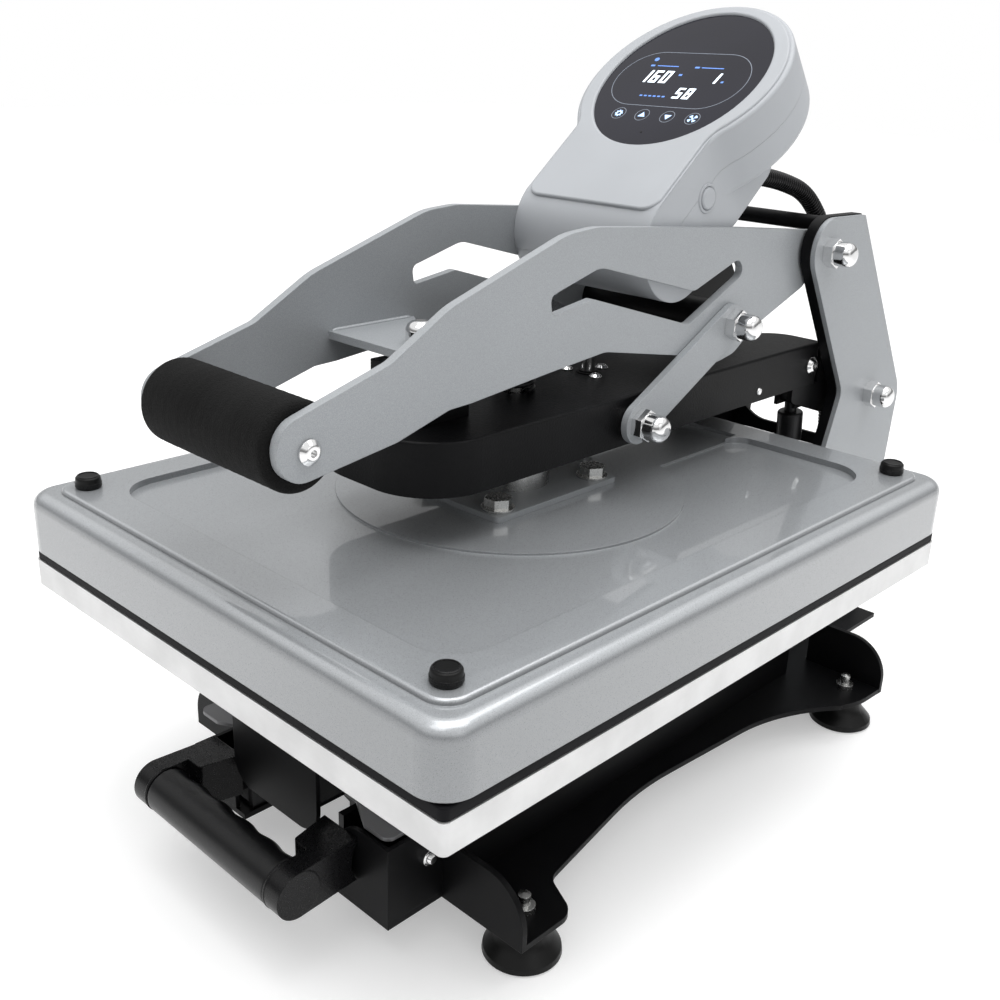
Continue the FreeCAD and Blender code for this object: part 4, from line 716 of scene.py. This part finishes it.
def build_pull():
    """Moulded pull grip: round in front, with finger waves along its back, and its end rings."""
    _, pull_y, pull_z = PULL_PLACE
    length = 2 * PULL_HALF
    mesh = bmesh.new()
    rings = []
    for station in range(PULL_STATIONS + 1):
        x = -PULL_HALF + length * station / PULL_STATIONS
        near_end = max(0.0, 1.0 - (PULL_HALF - abs(x)) / PULL_ROUNDING_LENGTH)
        radius = PULL_RADIUS - PULL_ROUNDING * near_end ** 2
        wave = 0.5 - 0.5 * math.cos(2 * math.pi * (x + PULL_HALF) / (length / PULL_WAVES))
        ring = []
        for step in range(PULL_SEGMENTS):
            angle = 2 * math.pi * step / PULL_SEGMENTS
            back = max(0.0, math.cos(angle)) ** 1.5
            y, z = polar((pull_y, pull_z), radius - PULL_WAVE_DEPTH * wave * back, angle)
            ring.append(mesh.verts.new(at(x, y, z)))
        rings.append(ring)
    for near, far in zip(rings, rings[1:]):
        join_rings(mesh, near, far)
    cap_rings(mesh, rings)
    add_piece("moulded_pull_grip", finished_mesh("moulded_pull_grip", mesh), "drawer",
              "black_plastic", GRIP_PLASTIC, ["drawer_pull_grip"])
    for side_name, side in SIDES:
        add_turned(f"pull_ring_{side_name}", PULL_RING, at(side * PULL_RING_X, pull_y, pull_z),
                   AXIS_X, "drawer", "black_plastic")


# ---------------------------------------------------------------- small fittings

WELD_STEPS = 90
WELD_SEGMENTS = 12
WELD_X = 58.0
WELD_FRONT, WELD_REAR = -107.0, -41.0
# name, height and radius of the weld beads on each side of the cross plate
WELDS = (("cross_plate_weld", 161.0, 1.6), ("cross_plate_weld_under", 156.0, 1.5))

CAP_X, CAP_Y, CAP_Z = 171.0, 222.0, 52.0
CAP_RIBS = [(7.6, 1.0), (8.6, 1.4), (8.2, 2.0), (8.6, 2.6), (8.2, 3.2), (8.6, 3.8), (7.6, 4.2)]
CAP_RIM = [(5.8, 7.6), (7.0, 7.6), (7.0, 8.2), (6.6, 8.5), (6.0, 8.5), (5.8, 8.2)]

NUT_PLACE = (101.0, -167.7, -116.9)
NUT = [(0, 0), (5.0, 0), (5.0, 2.6), (3.6, 3.0), (3.4, 4.6), (2.4, 5.8), (0, 6.2)]
RIVET_PLACE = (60.0, 213.0, 90.0)
RIVET = [(0, -0.5), (3.0, -0.5), (3.0, 0.2), (2.4, 1.1), (1.0, 1.5), (0, 1.5)]
SMALL_SEGMENTS = 24


def weld_bead(name, start, end, radius, body):
    """A run of weld with its overlapping ripples, tapered at both ends."""
    centres = [start.lerp(end, step / WELD_STEPS) for step in range(WELD_STEPS + 1)]
    radii = []
    for step in range(WELD_STEPS + 1):
        ripple = 0.86 + 0.14 * abs(math.sin(step * 0.62))
        taper = min(1.0, (step + 2) / 6, (WELD_STEPS - step + 2) / 6)
        radii.append(radius * MM * ripple * taper)
    mesh = tube_mesh(name, centres, radii, Vector(AXIS_Z), WELD_SEGMENTS)
    add_piece(name, mesh, body, "silver_paint")


def build_fittings():
    """Weld beads, ribs and rims of the corner caps, the housing's nut and the arm's rivets."""
    for side_name, side in SIDES:
        x = side * WELD_X
        for name, z, radius in WELDS:
            weld_bead(f"{name}_{side_name}", at(x, WELD_FRONT, z), at(x, WELD_REAR, z), radius,
                      "lever")
    corners = [(x, y) for x in (-CAP_X, CAP_X) for y in (-CAP_Y, CAP_Y)]
    for number, (x, y) in enumerate(corners, start=1):
        place = at(x, y, CAP_Z)
        add_turned(f"cap_ribs_{number}", CAP_RIBS, place, AXIS_Z, "arm", "black_plastic")
        add_turned(f"cap_rim_{number}", CAP_RIM, place, AXIS_Z, "arm", "black_plastic")
    add_turned("housing_nut", NUT, at(*NUT_PLACE), AXIS_X, "base", "chrome_plate", SMALL_SEGMENTS)
    rivet_x, rivet_y, rivet_z = RIVET_PLACE
    for side_name, side in SIDES:
        add_turned(f"arm_rivet_{side_name}", RIVET, at(side * rivet_x, rivet_y, rivet_z),
                   (side, 0, 0), "arm", "chrome_plate", SMALL_SEGMENTS)


build_console()
build_hose()
build_grip()
build_pad()
build_pull()
build_fittings()


# ---------------------------------------------------------------- stage, light and camera

# height of the view direction and grey there, from just above the horizon to overhead
SKY_STOPS = ((0.06, 1.0), (0.11, 0.22), (0.34, 0.32), (0.52, 1.05), (1.0, 1.05))
FLOOR_REACH = 8.0
FLOOR_DARK, FLOOR_PALE = (0.72, 0.72, 0.72), (0.74, 0.74, 0.74)
FLOOR_GLOW = 0.5
LIGHT_TARGET = (0.0, 0.0, 0.25)
# name, place, width, height and power of the area lights
LIGHTS = (("key", (0.2, -0.9, 2.3), 1.2, 1.2, 10), ("overhead", (0.2, 0.3, 2.2), 1.8, 1.8, 30),
          ("side", (2.0, -0.4, 1.2), 1.0, 1.4, 2))
CAMERA_PLACE = (0.517646, -0.634702, 0.510269)
CAMERA_YAW, CAMERA_PITCH, CAMERA_ROLL = 0.7580075, 0.3690024, 0.0364729
CAMERA_SENSOR, CAMERA_LENS = 36.0, 42.0875


def build_world():
    """Studio surround: white at the horizon, dim above it and bright overhead."""
    world = bpy.data.worlds.new("studio")
    world.use_nodes = True
    tree = world.node_tree
    coords = tree.nodes.new("ShaderNodeTexCoord")
    parts = tree.nodes.new("ShaderNodeSeparateXYZ")
    tree.links.new(coords.outputs["Generated"], parts.inputs["Vector"])
    node = tree.nodes.new("ShaderNodeValToRGB")
    elements = node.color_ramp.elements
    elements[0].position, elements[1].position = SKY_STOPS[0][0], SKY_STOPS[-1][0]
    for position, _ in SKY_STOPS[1:-1]:
        elements.new(position)
    for element, (_, grey) in zip(elements, SKY_STOPS):
        element.color = (grey, grey, grey, 1)
    tree.links.new(parts.outputs["Z"], node.inputs["Fac"])
    background = tree.nodes["Background"]
    tree.links.new(node.outputs["Color"], background.inputs["Color"])
    background.inputs["Strength"].default_value = 1.0
    bpy.context.scene.world = world


def build_stage():
    """White floor that glows a little, so that shadows on it stay faint."""
    mesh = bpy.data.meshes.new("floor")
    signs = ((-1, -1), (1, -1), (1, 1), (-1, 1))
    corners = [(x * FLOOR_REACH, y * FLOOR_REACH, 0) for x, y in signs]
    mesh.from_pydata(corners, [], [(0, 1, 2, 3)])
    floor = bpy.data.objects.new("floor", mesh)
    bpy.context.collection.objects.link(floor)
    material, tree, shader = new_material("white floor")
    tone = ramp(tree, noise(tree, texture_place(tree), 2.0), FLOOR_DARK, FLOOR_PALE)
    tree.links.new(tone, shader.inputs["Base Color"])
    tree.links.new(tone, shader.inputs["Emission Color"])
    shader.inputs["Emission Strength"].default_value = FLOOR_GLOW
    shader.inputs["Roughness"].default_value = 0.8
    shader.inputs["Specular IOR Level"].default_value = 0.1
    dress(floor, material)


def area_light(name, place, width, height, power):
    data = bpy.data.lights.new(name, "AREA")
    data.shape = "RECTANGLE"
    data.size = width
    data.size_y = height
    data.energy = power
    light = bpy.data.objects.new(name, data)
    light.location = place
    towards = Vector(LIGHT_TARGET) - Vector(place)
    light.rotation_euler = towards.to_track_quat("-Z", "Y").to_euler()
    bpy.context.collection.objects.link(light)


def build_camera():
    """Camera at the photograph's viewing angle: from the front right, a little above."""
    flat = math.cos(CAMERA_PITCH)
    back = Vector((math.sin(CAMERA_YAW) * flat, -math.cos(CAMERA_YAW) * flat,
                   math.sin(CAMERA_PITCH)))
    right = Vector((math.cos(CAMERA_YAW), math.sin(CAMERA_YAW), 0))
    up = right.cross(-back)
    right_rolled = right * math.cos(CAMERA_ROLL) + up * math.sin(CAMERA_ROLL)
    up_rolled = up * math.cos(CAMERA_ROLL) - right * math.sin(CAMERA_ROLL)
    data = bpy.data.cameras.new("camera")
    data.sensor_width = CAMERA_SENSOR
    data.lens = CAMERA_LENS
    camera = bpy.data.objects.new("camera", data)
    axes = Matrix((right_rolled, up_rolled, back)).transposed().to_4x4()
    camera.matrix_world = Matrix.Translation(CAMERA_PLACE) @ axes
    bpy.context.collection.objects.link(camera)
    bpy.context.scene.camera = camera


build_world()
build_stage()
for light_settings in LIGHTS:
    area_light(*light_settings)
build_camera()
bpy.context.scene.view_settings.view_transform = "Standard"
